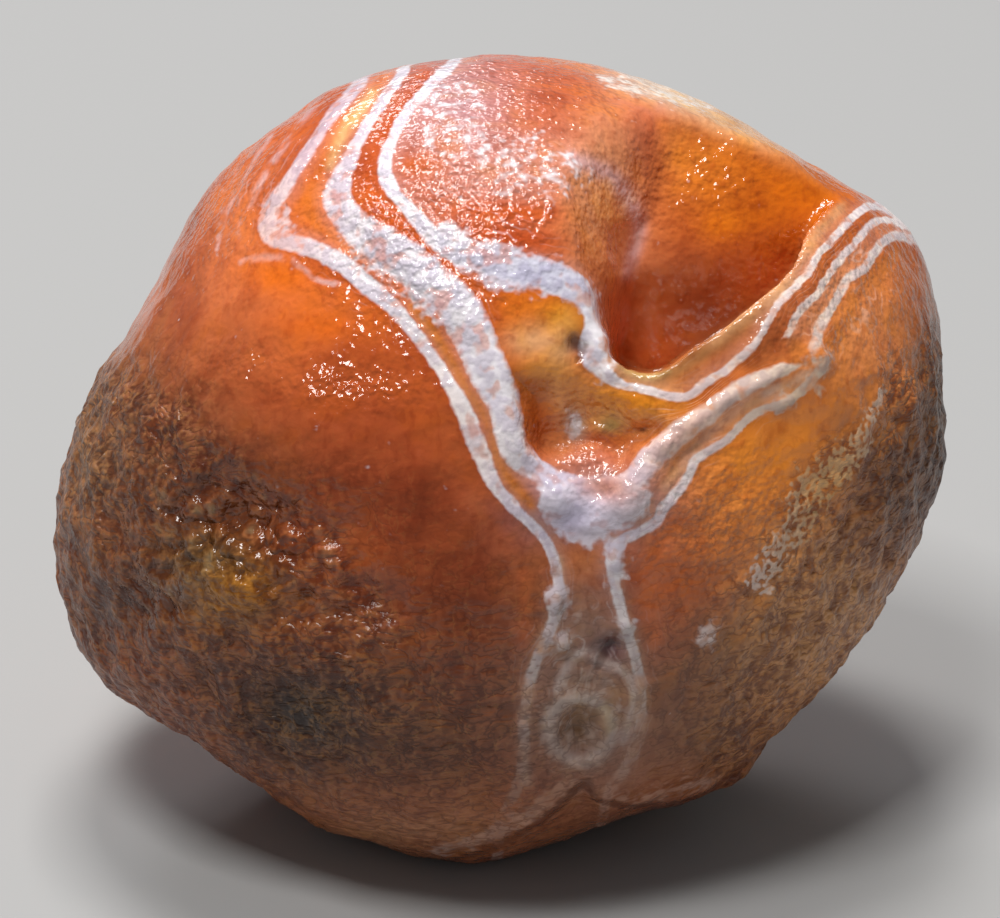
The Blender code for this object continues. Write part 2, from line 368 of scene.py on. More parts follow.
@dataclass(frozen=True)
class Hollow:
    """The scooped hollow: its rim carries the roll's width and how far the wall tucks in under the rim."""

    rim: Path = path(
        (600, 96, 100, 0), (566, 160, 104, 0), (560, 226, 96, 0), (578, 286, 64, 0), (594, 334, 38, 4),
        (614, 366, 24, 14), (655, 374, 18, 17), (688, 352, 16, 18), (722, 330, 16, 18),
        (764, 298, 16, 18), (794, 268, 16, 17), (812, 230, 18, 14), (838, 206, 20, 8), (876, 186, 26, 0),
        (960, 150, 40, 0), (900, 30, 90, 0), (720, -20, 90, 0), (640, 20, 95, 0),
        closed=True,
    )
    tuck_reach: float = 60.0
    deepest: tuple[float, float] = (668.0, 330.0)
    opening: tuple[float, float] = (640.0, 222.0)
    floor_depth: float = 7.4 * MM
    rise: float = 0.55
    lip_distance: float = 4.2 * MM
    lip_fall: float = 0.20
    lip_softness: float = 0.9 * MM
    softness: float = 1.2 * MM
    sag: float = 0.030 / MM
    tilt: float = 0.25

    def floor(self, places: np.ndarray, pixel: float) -> np.ndarray:
        """How far out the hollow's floor lies at each place.

        It climbs evenly from the deepest pixel to a lip, drops evenly beyond the lip, curves up as a
        square to the left and falls away evenly to the right.

        Args:
            places: N x 2 pixels.
            pixel: the size of a pixel in metres.

        Returns:
            N depths in metres.
        """
        deepest, opening = np.array(self.deepest), np.array(self.opening)
        ahead = (opening - deepest) / np.linalg.norm(opening - deepest)
        offset = (places - deepest) * pixel
        along, beside = offset @ ahead, offset @ [-ahead[1], ahead[0]]
        floor = self.floor_depth + self.rise * along
        lip_depth = self.floor_depth + self.rise * self.lip_distance
        beyond = lip_depth - self.lip_fall * (along - self.lip_distance)
        floor -= flattened(floor - beyond, self.lip_softness)
        return floor + self.sag * np.minimum(beside, 0) ** 2 - self.tilt * np.maximum(beside, 0)

    def cut(self, places: np.ndarray, depth: np.ndarray, pixel: float) -> np.ndarray:
        """Works out how much the hollow takes off the skin at each place.

        Args:
            places: N x 2 pixels.
            depth: how far out the uncut skin lies at each, in metres.
            pixel: the size of a pixel in metres.

        Returns:
            N depths in metres.
        """
        near = self.rim.nearest(places)
        share = ease(near.distance / near.values[:, 0]) * self.rim.around(places)
        return flattened(depth - self.floor(places, pixel), self.softness) * share

    def tuck(self, places: np.ndarray) -> np.ndarray:
        """Works out the shift that draws the foot of the wall in under the rim.

        Args:
            places: N x 2 pixels.

        Returns:
            N x 2 shifts in pixels.
        """
        near = self.rim.nearest(places)
        roll, tuck = near.values.T
        fade = np.exp(-((near.distance / self.tuck_reach) ** 2)) * self.rim.around(places)
        pull = tuck * ease(near.distance / roll) * fade
        return (near.feet - places) * (pull / np.maximum(near.distance, 1e-6))[:, None]


@dataclass(frozen=True)
class StoneForm:
    """The stone's form: a full dome to the front and back of an outline, with swells, hollows and ledges."""

    sight: Sight = Sight()
    hollow: Hollow = Hollow()
    front_depth: float = 20.0 * MM
    back_depth: float = 19.0 * MM
    fullness: float = 2.15
    outline_harmonics: int = 5
    dent_reach: float = 5.0 * MM
    facet_softness: float = 0.45 * MM
    relief_share: float = 0.3
    outline_steps: int = 720
    outline: Path = path(
        (55, 540), (58, 492), (69, 447), (84, 409), (103, 370), (131, 328), (153, 290), (172, 250),
        (199, 202), (233, 161), (278, 126), (331, 91), (400, 67), (460, 58), (505, 55), (560, 60),
        (610, 69), (660, 85), (720, 110), (778, 145), (830, 176), (872, 199), (905, 227), (925, 262),
        (936, 305), (940, 350), (941, 398), (945, 432), (941, 476), (924, 524), (898, 578), (866, 632),
        (828, 680), (786, 723), (757, 757), (728, 786), (690, 801), (642, 812), (598, 826), (555, 842),
        (510, 857), (465, 862), (420, 857), (372, 843), (325, 830), (284, 803), (242, 774), (196, 741),
        (158, 718), (120, 699), (93, 670), (74, 632), (61, 592),
        closed=True,
    )
    swells: tuple[Swell, ...] = (
        Swell(Patch((510, 190), (120, 115)), 1.8 * MM),
        Swell(Patch((265, 400), (140, 150)), 1.1 * MM),
        Swell(Patch((790, 335), (55, 150), -38), 1.5 * MM),
        Swell(Patch((400, 700), (190, 100)), 0.7 * MM),
        Swell(Patch((850, 570), (80, 120), -25), -0.9 * MM),
        Swell(Patch((575, 455), (48, 130), 12), -1.5 * MM),
        Swell(Patch((585, 640), (34, 90)), -0.7 * MM),
        Swell(Patch((582, 728), (36, 40)), -0.5 * MM),
        Swell(Patch((118, 625), (40, 30)), -1.1 * MM),
        Swell(Patch((215, 512), (58, 34), -20), -0.9 * MM),
        Swell(Patch((292, 718), (52, 40)), -0.8 * MM),
        Swell(Patch((232, 590), (52, 32), 10), 0.6 * MM),
    )
    basins: tuple[Basin, ...] = (
        Basin(
            path(
                (504, 366, 38), (508, 416, 34), (522, 454, 24), (556, 466, 20), (590, 462, 20),
                (622, 474, 20), (646, 454, 22), (670, 432, 28), (650, 400, 36), (600, 388, 40),
                (556, 366, 40),
                closed=True,
            ),
            1.3 * MM,
        ),
        Basin(
            path(
                (584, 778, 16), (608, 812, 16), (640, 850, 20), (560, 890, 26), (470, 880, 26),
                (520, 836, 18), (556, 804, 16),
                closed=True,
            ),
            1.5 * MM,
        ),
    )
    ledges: tuple[Ledge, ...] = (
        Ledge(path((868, 214), (828, 246), (810, 280), (776, 318), (752, 352)), 12, 0.35 * MM),
        Ledge(path((880, 228), (842, 262), (818, 300), (792, 336)), 12, 0.35 * MM),
        Ledge(path((893, 244), (856, 280), (838, 318), (816, 350)), 12, 0.30 * MM),
        Ledge(path((786, 372), (742, 392), (702, 418), (664, 450), (640, 486)), 18, 0.35 * MM),
        Ledge(path((352, 200), (396, 252), (468, 318), (504, 382), (524, 440)), 20, 0.40 * MM),
        Ledge(path((556, 492), (590, 496), (626, 496)), 26, 0.80 * MM),
    )
    back_swells: tuple[Swell, ...] = (
        Swell(Patch((420, 300), (260, 110), 20), 1.6 * MM),
        Swell(Patch((250, 610), (120, 100)), 1.2 * MM),
        Swell(Patch((600, 520), (90, 70), 20), -1.5 * MM),
        Swell(Patch((650, 250), (80, 70)), 1.0 * MM),
        Swell(Patch((350, 470), (56, 46)), -1.2 * MM),
        Swell(Patch((480, 640), (40, 34)), -0.8 * MM),
    )
    pits: Pits = Pits()
    facets: tuple[Facet, ...] = (
        Facet((0.66, -0.42, -0.62), 1.8 * MM),
        Facet((-0.52, -0.46, -0.72), 1.4 * MM),
        Facet((0.48, 0.56, -0.68), 1.8 * MM),
        Facet((-0.62, 0.40, -0.67), 1.5 * MM),
        Facet((0.08, 0.02, -1.0), 1.0 * MM),
    )

    def outline_radii(self, angles: np.ndarray) -> tuple[np.ndarray, np.ndarray]:
        """Splits the outline into its broad form and its small dents.

        The broad form is the outline's distance from the face's centre with only its slowest waves kept.

        Args:
            angles: the way from the face's centre, in radians.

        Returns:
            The broad form's distance in metres, and what the dents add to it.
        """
        row = self.outline.curve()[:-1]
        across, up = ((row - self.sight.face_centre) * (self.sight.pixel, -self.sight.pixel)).T
        turn, radius = np.arctan2(up, across), np.hypot(across, up)
        even = np.linspace(-math.pi, math.pi, self.outline_steps, endpoint=False)
        order = np.argsort(turn)
        full = np.interp(even, turn[order], radius[order], period=2 * math.pi)
        waves = np.fft.rfft(full)
        waves[self.outline_harmonics + 1 :] = 0
        broad = np.fft.irfft(waves, len(even))
        return (
            np.interp(angles, even, broad, period=2 * math.pi),
            np.interp(angles, even, full - broad, period=2 * math.pi),
        )

    def face_relief(self, places: np.ndarray, dome: np.ndarray) -> np.ndarray:
        """Works out how far the face stands above the plain dome at each place.

        Args:
            places: N x 2 pixels.
            dome: the dome's own depth at each, in metres.

        Returns:
            N heights in metres.
        """
        relief = sum(swell.height * swell.patch.at(places) for swell in self.swells)
        relief += self.pits.relief(places)
        for basin in self.basins:
            relief -= basin.depth * basin.sunk(places)
        for ledge in self.ledges:
            relief += ledge.height * np.exp(-((ledge.crest.nearest(places).distance / ledge.half_width) ** 2))
        return relief - self.hollow.cut(places, dome + relief, self.sight.pixel)

    def worn(self, points: np.ndarray) -> np.ndarray:
        """Grinds the far side's facets into the skin: what stands over a facet's plane moves onto it.

        Args:
            points: N x 3, across, up and out, in metres.

        Returns:
            The ground points.
        """
        for facet in self.facets:
            normal = np.array(facet.facing) / np.linalg.norm(facet.facing)
            reach = points @ normal
            over = flattened(reach - (reach.max() - facet.cut), self.facet_softness)
            points = points - over[:, None] * normal
        return points

    def skin(self, directions: np.ndarray) -> Skin:
        """Works out the skin in each direction.

        The dome is a superellipse: (across/outline)^f + (out/depth)^f = 1. Relief is added along the line of
        sight, fading in over a share of the dome's depth. The whole narrows towards the eye by
        (distance - depth) / distance.

        Args:
            directions: N unit vectors, across, up and out.

        Returns:
            The skin's points as the eye sees them, with their pixels and the dome's depth.
        """
        across, up, out = directions.T
        turn, lean = np.arctan2(up, across), np.hypot(across, up)
        size = (lean**self.fullness + np.abs(out) ** self.fullness) ** (-1 / self.fullness)
        dome = np.where(out > 0, self.front_depth, self.back_depth) * out * size
        broad, dents = self.outline_radii(turn)
        radius = (broad + dents * np.exp(-((dome / self.dent_reach) ** 2))) * lean * size
        seen = np.column_stack([radius * np.cos(turn), radius * np.sin(turn)])
        places = self.sight.places(seen)
        front = ease(dome / (self.relief_share * self.front_depth))
        back = ease(-dome / (self.relief_share * self.back_depth))
        behind = sum(swell.height * swell.patch.at(places) for swell in self.back_swells)
        depth = dome + front * self.face_relief(places, dome) - back * behind
        seen += self.hollow.tuck(places) * (self.sight.pixel, -self.sight.pixel) * front[:, None]
        seen *= ((self.sight.distance - depth) / self.sight.distance)[:, None]
        return Skin(self.worn(np.column_stack([seen, depth])), places, dome)


@dataclass(frozen=True)
class PatchSphere:
    """Six square patches of quads blown up to a unit sphere and crowded towards the face (+Z)."""

    grid: int = 128
    crowding: float = 0.66

    def build(self) -> tuple[np.ndarray, np.ndarray]:
        """Makes the sphere's directions and quads.

        Each patch is one side of a cube of whole-number points. The points are evened out by tan, put on
        the sphere and drawn towards the face: tan(b'/2) = crowding * tan(b/2) for the angle b from it.

        Returns:
            N x 3 unit vectors, and M x 4 corner numbers that go round outwards.
        """
        n = self.grid
        first, second = np.meshgrid(np.arange(n + 1), np.arange(n + 1), indexing="ij")
        corners = []
        for axis, end in itertools.product(range(3), (0, n)):
            side = np.empty((n + 1, n + 1, 3), np.int64)
            side[..., axis] = end
            side[..., (axis + 1) % 3] = first if end else second
            side[..., (axis + 2) % 3] = second if end else first
            code = (side[..., 0] * (n + 1) + side[..., 1]) * (n + 1) + side[..., 2]
            corners.append(np.stack([code[:-1, :-1], code[1:, :-1], code[1:, 1:], code[:-1, 1:]], -1))
        codes, quads = np.unique(np.concatenate([c.reshape(-1, 4) for c in corners]), return_inverse=True)
        lattice = np.stack([codes // (n + 1) ** 2, codes // (n + 1) % (n + 1), codes % (n + 1)], 1)
        rounded = np.tan((lattice / n * 2 - 1) * math.pi / 4)
        rounded /= np.linalg.norm(rounded, axis=1)[:, None]
        lean = np.hypot(rounded[:, 0], rounded[:, 1])
        turned = 2 * np.arctan2(self.crowding * lean, 1 + rounded[:, 2])
        share = np.sin(turned) / np.maximum(lean, 1e-9)
        return np.column_stack([rounded[:, :2] * share[:, None], np.cos(turned)]), quads.reshape(-1, 4)


@dataclass(frozen=True)
class Zone:
    """A soft oval of colour."""

    patch: Patch
    colour: tuple[int, int, int]
    strength: float = 1.0


@dataclass(frozen=True)
class Ribbon:
    """A soft stroke of colour along a path that carries its half-width in pixels."""

    line: Path
    colour: tuple[int, int, int]
    strength: float = 1.0


@dataclass(frozen=True)
class Stripe:
    """A pale band along a path that carries its half-width in pixels."""

    line: Path
    positive: Side
    inner: Side
    level: float


@dataclass(frozen=True)
class Mottle:
    """A cloudy pattern of about -0.4 to 0.4 that is kept on the skin's points."""

    name: str
    width: float
    seed: int
    layers: int
    height: float = 0.42

    def at(self, points: np.ndarray) -> np.ndarray:
        """The pattern at each point: layered noise, its widest layer one cell to the width."""
        return self.height * layered_noise(points / self.width, self.seed, self.layers)


@dataclass(frozen=True)
class Markings:
    """What is drawn on the skin: bands, fine layers, clouds, crust and the soft colours under them."""

    stripes: tuple[Stripe, ...] = (
        Stripe(
            path(
                (540, -140, 5), (480, 10, 5), (455, 60, 5), (440, 75, 5), (424, 93, 5), (408, 112, 5),
                (396, 131, 5), (388, 150, 6), (385, 170, 7), (392, 190, 7), (406, 207, 7), (424, 226, 8),
                (442, 246, 9), (470, 258, 10), (500, 266, 12), (530, 273, 14), (557, 280, 16),
                (577, 288, 13), (588, 303, 9), (592, 324, 8), (590, 345, 10), (595, 362, 10),
                (607, 376, 7), (625, 386, 4), (645, 390, 4), (665, 395, 4), (687, 396, 4), (706, 382, 4),
                (726, 370, 4), (744, 354, 4), (758, 340, 3), (768, 322, 3), (778, 304, 3), (793, 289, 3),
                (808, 273, 3), (817, 257, 3), (832, 240, 3), (848, 222, 3), (864, 209, 3), (884, 206, 4),
                (905, 222, 4), (960, 250, 4), (1180, 330, 4),
            ),
            Side.LEFT, Side.LEFT, 0.0,
        ),
        Stripe(
            path(
                (480, -140, 5), (425, 10, 5), (405, 67, 5), (393, 85, 5), (382, 101, 5), (368, 124, 5),
                (356, 146, 6), (348, 164, 7), (340, 182, 11), (338, 200, 15), (348, 218, 16),
                (362, 232, 17), (384, 246, 20), (405, 260, 20), (428, 277, 20), (447, 293, 20),
                (460, 310, 21), (471, 331, 21), (483, 357, 20), (493, 381, 19), (502, 399, 17),
                (507, 416, 15), (511, 436, 15), (517, 452, 14), (534, 468, 12), (562, 482, 9),
                (588, 484, 8), (612, 484, 9), (634, 478, 11), (648, 462, 13), (662, 448, 13),
                (678, 434, 12), (694, 422, 11), (709, 412, 10), (724, 400, 9), (742, 388, 9),
                (762, 378, 8), (785, 368, 7), (804, 357, 5), (817, 351, 4), (825, 359, 4), (818, 371, 5),
                (809, 384, 5), (795, 396, 4), (774, 405, 4), (757, 413, 4), (741, 426, 4), (726, 440, 4),
                (710, 450, 4), (695, 462, 4), (689, 476, 4), (677, 492, 5), (664, 506, 5), (657, 520, 5),
                (642, 531, 5), (622, 540, 6), (613, 556, 6), (614, 578, 6), (619, 600, 5), (627, 630, 5),
                (636, 660, 5), (641, 690, 5), (641, 720, 5), (634, 750, 5), (620, 776, 5), (607, 797, 5),
                (602, 840, 5), (610, 900, 5), (680, 1200, 5),
            ),
            Side.RIGHT, Side.LEFT, -60.0,
        ),
        Stripe(
            path(
                (430, -140, 6), (385, 10, 6), (370, 60, 6), (360, 82, 6), (345, 101, 6), (328, 121, 6),
                (312, 145, 6), (300, 166, 6), (288, 184, 7), (276, 198, 8), (269, 212, 9), (267, 226, 9),
                (272, 236, 10), (290, 242, 9), (308, 247, 9), (328, 256, 9), (348, 268, 9),
                (366, 284, 9), (386, 300, 8), (402, 317, 7), (419, 338, 6), (434, 360, 6), (447, 380, 6),
                (458, 401, 8), (469, 423, 9), (478, 447, 9), (487, 469, 8), (496, 487, 7), (510, 503, 6),
                (525, 519, 5), (542, 536, 5), (551, 552, 5), (556, 570, 5), (559, 590, 6), (556, 612, 7),
                (549, 632, 5), (537, 660, 5), (528, 690, 5), (524, 720, 5), (524, 750, 5), (520, 778, 5),
                (510, 803, 5), (500, 830, 5), (490, 900, 5), (430, 1200, 5),
            ),
            Side.LEFT, Side.LEFT, -85.0,
        ),
        Stripe(
            path(
                (1180, 350, 4), (970, 242, 4), (912, 228, 4), (892, 221, 3), (878, 221, 3),
                (865, 231, 3), (854, 245, 3), (839, 261, 3), (826, 279, 3), (815, 296, 3), (800, 311, 3),
                (790, 330, 3), (784, 350, 3), (803, 356, 3), (814, 344, 5), (820, 326, 5), (831, 309, 4),
                (841, 292, 4), (850, 277, 4), (866, 267, 4), (873, 255, 4), (884, 241, 4), (896, 236, 4),
                (912, 240, 4), (970, 260, 4), (1180, 380, 4),
            ),
            Side.LEFT, Side.LEFT, -22.0,
        ),
    )
    stripe_limit: float = 4.0
    edge_width: float = 8.0
    level_floor: float = 8.0
    zone_fullness: float = 0.6
    hairs: tuple[Path, ...] = (
        path((241, 263, 3), (256, 259, 4), (275, 257, 4), (290, 260, 4), (305, 271, 3), (320, 281, 3),
             (343, 286, 3)),
        path((238, 236, 3), (246, 210, 3), (262, 180, 3), (278, 155, 3), (296, 128, 3), (316, 104, 3)),
        path((216, 250, 2), (226, 214, 2), (240, 186, 2), (256, 158, 2), (272, 136, 2)),
        path((224, 210, 2), (218, 236, 2), (217, 258, 1)),
        path((740, 404, 2), (765, 392, 4), (790, 383, 4), (806, 372, 3)),
        path((440, 846, 3), (480, 841, 4), (520, 826, 4), (560, 801, 4), (580, 785, 3)),
        path((598, 796, 3), (640, 802, 4), (680, 795, 3), (716, 784, 2)),
        path((580, 697, 6), (603, 706, 5), (612, 728, 6), (603, 750, 7), (580, 760, 6), (557, 750, 5),
             (548, 728, 6), (557, 706, 6), closed=True),
        path((586, 678, 4), (602, 664, 4), (622, 672, 4), (634, 690, 4), (632, 712, 3)),
        path((556, 690, 3), (566, 668, 4), (584, 652, 3), (604, 646, 3)),
        path((566, 776, 4), (580, 768, 4), (600, 772, 3)),
    )
    cracks: tuple[Path, ...] = (
        path((440, 864, 3), (480, 852, 4), (520, 836, 5), (552, 812, 5), (578, 790, 4), (588, 782, 5),
             (598, 800, 4), (640, 808, 4), (690, 799, 4), (740, 776, 3)),
        path((575, 338, 5), (582, 350, 6), (578, 362, 3)),
        path((612, 642, 5), (604, 654, 6), (598, 668, 4)),
        path((150, 640, 3), (190, 652, 3), (232, 644, 2)),
        path((240, 690, 3), (262, 742, 4), (300, 764, 3), (340, 752, 2)),
    )
    clouds: tuple[tuple[Path, float], ...] = (
        (
            path(
                (535, 462), (552, 472), (575, 480), (600, 478), (625, 474), (644, 482), (652, 500),
                (640, 520), (614, 530), (596, 546), (570, 540), (548, 522), (536, 495),
                closed=True,
            ),
            1.0,
        ),
        (
            path(
                (436, 216), (470, 234), (520, 246), (560, 260), (592, 282), (602, 314), (592, 332),
                (578, 306), (540, 298), (500, 292), (465, 278), (436, 252),
                closed=True,
            ),
            0.75,
        ),
        (
            path(
                (340, 230), (380, 236), (440, 262), (470, 320), (440, 330), (390, 290), (350, 262),
                closed=True,
            ),
            0.55,
        ),
        (path((262, 190), (284, 186), (292, 214), (296, 240), (268, 246), (258, 220), closed=True), 0.6),
        (
            path(
                (430, 84), (474, 76), (492, 112), (476, 150), (446, 168), (420, 150), (414, 118),
                closed=True,
            ),
            0.40,
        ),
        (path((500, 130), (560, 140), (600, 176), (560, 200), (500, 196), (470, 160), closed=True), 0.42),
        (path((546, 590), (562, 586), (570, 602), (558, 618), (546, 612), closed=True), 0.85),
        (path((546, 636), (572, 630), (566, 652), (548, 660), closed=True), 0.7),
        (path((604, 536), (622, 540), (628, 576), (612, 586), (602, 560), closed=True), 0.7),
        (path((614, 618), (634, 618), (640, 640), (624, 640), closed=True), 0.7),
        (path((548, 690), (612, 690), (626, 728), (606, 776), (560, 780), (536, 738), closed=True), 0.42),
        (path((600, 72), (650, 80), (716, 104), (700, 112), (650, 98), (604, 88), closed=True), 0.66),
        (path((566, 408), (582, 412), (580, 440), (564, 436), closed=True), 0.75),
        (path((596, 330), (616, 340), (618, 380), (600, 384), (590, 352), closed=True), 0.7),
        (path((803, 380), (808, 358), (820, 346), (829, 356), (827, 384), (814, 396), closed=True), 0.62),
        (path((768, 404), (782, 392), (797, 390), (795, 406), (778, 416), closed=True), 0.62),
        (path((700, 622), (720, 620), (718, 648), (700, 648), closed=True), 0.6),
        (
            path(
                (432, 846), (470, 836), (506, 818), (540, 796), (568, 780), (582, 784), (560, 804),
                (524, 830), (482, 846), (436, 856),
                closed=True,
            ),
            0.95,
        ),
        (
            path(
                (598, 786), (634, 796), (680, 781), (716, 776), (718, 786), (680, 793), (634, 807),
                closed=True,
            ),
            0.9,
        ),
    )
    cloud_softness: float = 12.0
    fringe: Path = path(
        (884, 392, 6), (870, 420, 10), (858, 446, 15), (840, 462, 21), (818, 480, 24), (806, 502, 21),
        (794, 528, 17), (776, 554, 17), (758, 582, 14),
    )
    crusts: tuple[Path, ...] = (
        path(
            (10, 330), (96, 346), (144, 366), (190, 400), (250, 456), (322, 506), (380, 572), (410, 640),
            (396, 726), (340, 800),
            (240, 820), (100, 760), (10, 640),
            closed=True,
        ),
        path(
            (980, 320), (900, 350), (866, 396), (842, 436), (800, 464), (780, 500), (752, 550), (726, 606),
            (722, 656), (696, 704), (690, 770), (720, 840), (900, 760), (1000, 560),
            closed=True,
        ),
    )
    crust_softness: float = 62.0
    lumpy: tuple[tuple[Patch, float], ...] = (
        (Patch((228, 530), (105, 62), 12), 1.0),
        (Patch((165, 588), (64, 44)), 0.8),
        (Patch((305, 592), (60, 40)), 0.5),
        (Patch((830, 540), (46, 90), -20), 0.3),
    )
    wrinkled: tuple[tuple[Patch, float], ...] = (
        (Patch((400, 740), (240, 170)), 1.0),
        (Patch((170, 620), (140, 170)), 1.0),
        (Patch((760, 690), (150, 140), -35), 0.9),
        (Patch((720, 560), (110, 100)), 0.45),
        (Patch((330, 520), (120, 70)), 0.5),
        (Patch((585, 700), (100, 140)), 0.5),
        (Patch((600, 425), (60, 40)), 0.4),
        (Patch((930, 470), (60, 180)), 0.7),
        (Patch((130, 400), (70, 80), 15), 0.6),
    )
    glazed: tuple[tuple[Patch, float], ...] = (
        (Patch((490, 172), (118, 122)), 1.0),
        (Patch((400, 240), (130, 90), 25), 1.0),
        (Patch((500, 90), (140, 50)), 0.9),
        (Patch((350, 385), (90, 24)), 0.75),
        (Patch((245, 362), (70, 30)), 0.6),
        (Patch((690, 180), (110, 70)), 0.6),
        (Patch((820, 280), (90, 90)), 0.6),
        (Patch((600, 440), (110, 90)), 0.55),
        (Patch((220, 530), (120, 80)), 0.5),
        (Patch((715, 520), (80, 70)), 0.85),
        (Patch((240, 200), (70, 100)), 0.6),
    )
    broken: tuple[tuple[Patch, float], ...] = (
        (Patch((590, 610), (60, 40)), 0.5),
        (Patch((585, 720), (120, 90)), 0.62),
        (Patch((540, 836), (180, 44)), 0.6),
        (Patch((793, 352), (18, 15)), 1.5),
        (Patch((824, 360), (16, 14)), 1.3),
        (Patch((796, 392), (16, 8)), 0.5),
    )
    base: tuple[int, int, int] = (206, 96, 42)
    zones: tuple[Zone, ...] = (
        Zone(Patch((500, 190), (130, 120)), (202, 92, 36)),
        Zone(Patch((310, 325), (100, 70)), (214, 104, 42)),
        Zone(Patch((215, 240), (60, 100)), (214, 118, 72), 0.9),
        Zone(Patch((182, 285), (16, 70), 14), (160, 74, 46), 0.7),
        Zone(Patch((277, 277), (32, 15), 10), (228, 108, 22), 0.9),
        Zone(Patch((322, 328), (40, 11), 6), (226, 104, 24), 0.8),
        Zone(Patch((232, 342), (26, 18), 30), (172, 84, 44), 0.7),
        Zone(Patch((350, 430), (120, 70)), (166, 72, 34), 0.9),
        # Partly painted shade: these two zones darken the lower part towards the bottom as if in shade, over
        # the crust's own brown
        Zone(Patch((470, 610), (130, 100)), (126, 56, 30), 0.9),
        Zone(Patch((400, 740), (190, 90)), (112, 66, 40), 0.9),
        Zone(Patch((730, 560), (80, 100)), (186, 76, 26), 0.9),
        Zone(Patch((725, 655), (56, 36), -30), (96, 54, 40), 0.9),
        Zone(Patch((840, 600), (84, 130), -20), (226, 158, 102)),
        Zone(Patch((882, 462), (46, 74), -18), (92, 54, 36), 0.95),
        Zone(Patch((700, 735), (80, 60)), (144, 92, 60), 0.9),
        Zone(Patch((800, 670), (60, 60), -30), (216, 150, 98), 0.8),
        # Painted shade: a near-black strip down the right edge, where the flank turns away from the lamps,
        # over its dark crust
        Zone(Patch((938, 400), (34, 110)), (44, 20, 12)),
        Zone(Patch((855, 330), (54, 80)), (240, 146, 84)),
        Zone(Patch((765, 455), (80, 56), -30), (255, 150, 56)),
        # Painted shade: the hollow's deep part is darkened for the shadow its lip casts, partly a darker
        # carnelian of its own
        Zone(Patch((690, 300), (84, 54)), (164, 92, 56)),
        Zone(Patch((752, 208), (60, 40)), (176, 78, 2)),
        Zone(Patch((722, 222), (16, 10), -20), (222, 116, 8), 0.8),
        Zone(Patch((688, 150), (64, 44)), (222, 124, 34)),
        Zone(Patch((800, 182), (60, 30), 25), (206, 102, 8)),
        Zone(Patch((640, 130), (18, 70), 10), (206, 84, 30), 0.8),
        Zone(Patch((650, 84), (64, 14), 20), (236, 214, 192), 0.9),
        Zone(Patch((725, 118), (60, 11), 26), (232, 190, 140), 0.8),
        # Painted sheen: these two lilac-pink zones stand for the sky's reflection on the boss's wet top
        Zone(Patch((500, 130), (90, 60)), (202, 132, 118), 0.6),
        Zone(Patch((455, 115), (46, 52)), (188, 144, 152), 0.85),
        Zone(Patch((440, 170), (26, 40)), (198, 112, 84), 0.8),
        # Painted sheen: this lilac-pink zone stands for the sky's reflection on the boss's wet top
        Zone(Patch((535, 165), (66, 32), -20), (206, 140, 124), 0.6),
        Zone(Patch((560, 100), (44, 26), -30), (196, 92, 50), 0.8),
        Zone(Patch((515, 212), (60, 8), 3), (204, 84, 16), 0.9),
        Zone(Patch((520, 238), (60, 9), 8), (196, 76, 26), 0.8),
        Zone(Patch((415, 165), (16, 8)), (204, 92, 20), 0.8),
        # Painted light: the hollow's left wall, which the boss shades, is lightened as if it were lit
        Zone(Patch((606, 205), (30, 66)), (240, 160, 108), 0.95),
        # Partly painted light: the pocket's floor, shaded by its upper wall, is lightened as if lit, over its
        # own amber
        Zone(Patch((600, 420), (66, 44)), (238, 164, 94), 0.95),
        Zone(Patch((640, 400), (44, 12), 4), (232, 140, 20), 0.9),
        Zone(Patch((606, 440), (34, 9)), (214, 98, 22), 0.9),
        Zone(Patch((574, 424), (8, 16), -20), (176, 160, 150), 0.9),
        Zone(Patch((612, 424), (10, 9)), (150, 128, 78), 0.8),
        Zone(Patch((538, 422), (15, 34)), (190, 84, 18), 0.95),
        Zone(Patch((530, 310), (30, 24)), (224, 116, 26), 0.9),
        Zone(Patch((564, 321), (17, 16)), (232, 150, 22), 0.9),
        Zone(Patch((559, 358), (11, 26), 12), (232, 176, 122), 0.85),
        Zone(Patch((581, 345), (9, 8)), (84, 72, 92), 0.9),
        Zone(Patch((512, 352), (9, 30), -22), (206, 88, 16), 0.85),
        Zone(Patch((534, 342), (26, 14)), (236, 172, 120), 0.9),
        Zone(Patch((545, 372), (26, 14)), (232, 150, 60), 0.8),
        Zone(Patch((595, 460), (32, 11)), (206, 96, 34), 0.9),
        Zone(Patch((592, 506), (52, 30)), (186, 156, 166), 0.95),
        Zone(Patch((600, 492), (16, 10)), (176, 120, 118), 0.8),
        Zone(Patch((580, 560), (26, 18)), (206, 108, 36), 0.9),
        Zone(Patch((582, 618), (28, 24)), (150, 88, 58), 0.8),
        Zone(Patch((588, 690), (46, 90)), (160, 128, 112), 0.9),
        Zone(Patch((610, 650), (18, 14)), (86, 66, 80), 0.8),
        Zone(Patch((580, 728), (20, 20)), (132, 92, 68), 0.9),
        Zone(Patch((130, 400), (64, 54), 20), (130, 72, 46), 0.8),
        Zone(Patch((400, 500), (70, 40)), (140, 62, 34), 0.6),
        Zone(Patch((160, 480), (90, 90)), (128, 78, 50), 0.8),
        Zone(Patch((250, 470), (80, 30), 20), (120, 60, 38), 0.8),
        Zone(Patch((86, 470), (30, 100), 10), (136, 100, 70), 0.7),
        Zone(Patch((215, 592), (56, 36)), (156, 100, 40), 0.9),
        Zone(Patch((232, 590), (28, 22)), (206, 128, 16), 1.0),
        Zone(Patch((205, 555), (40, 22)), (112, 98, 62), 0.6),
        Zone(Patch((240, 680), (110, 60), 20), (92, 56, 34), 0.6),
        Zone(Patch((302, 716), (44, 32)), (58, 32, 20), 1.0),
        Zone(Patch((105, 610), (50, 70)), (112, 66, 46), 0.8),
        Zone(Patch((430, 834), (180, 34)), (184, 116, 78), 0.85),
        Zone(Patch((400, 836), (60, 14)), (200, 140, 104), 0.6),
        Zone(Patch((640, 840), (60, 26)), (104, 60, 40), 0.8),
    )
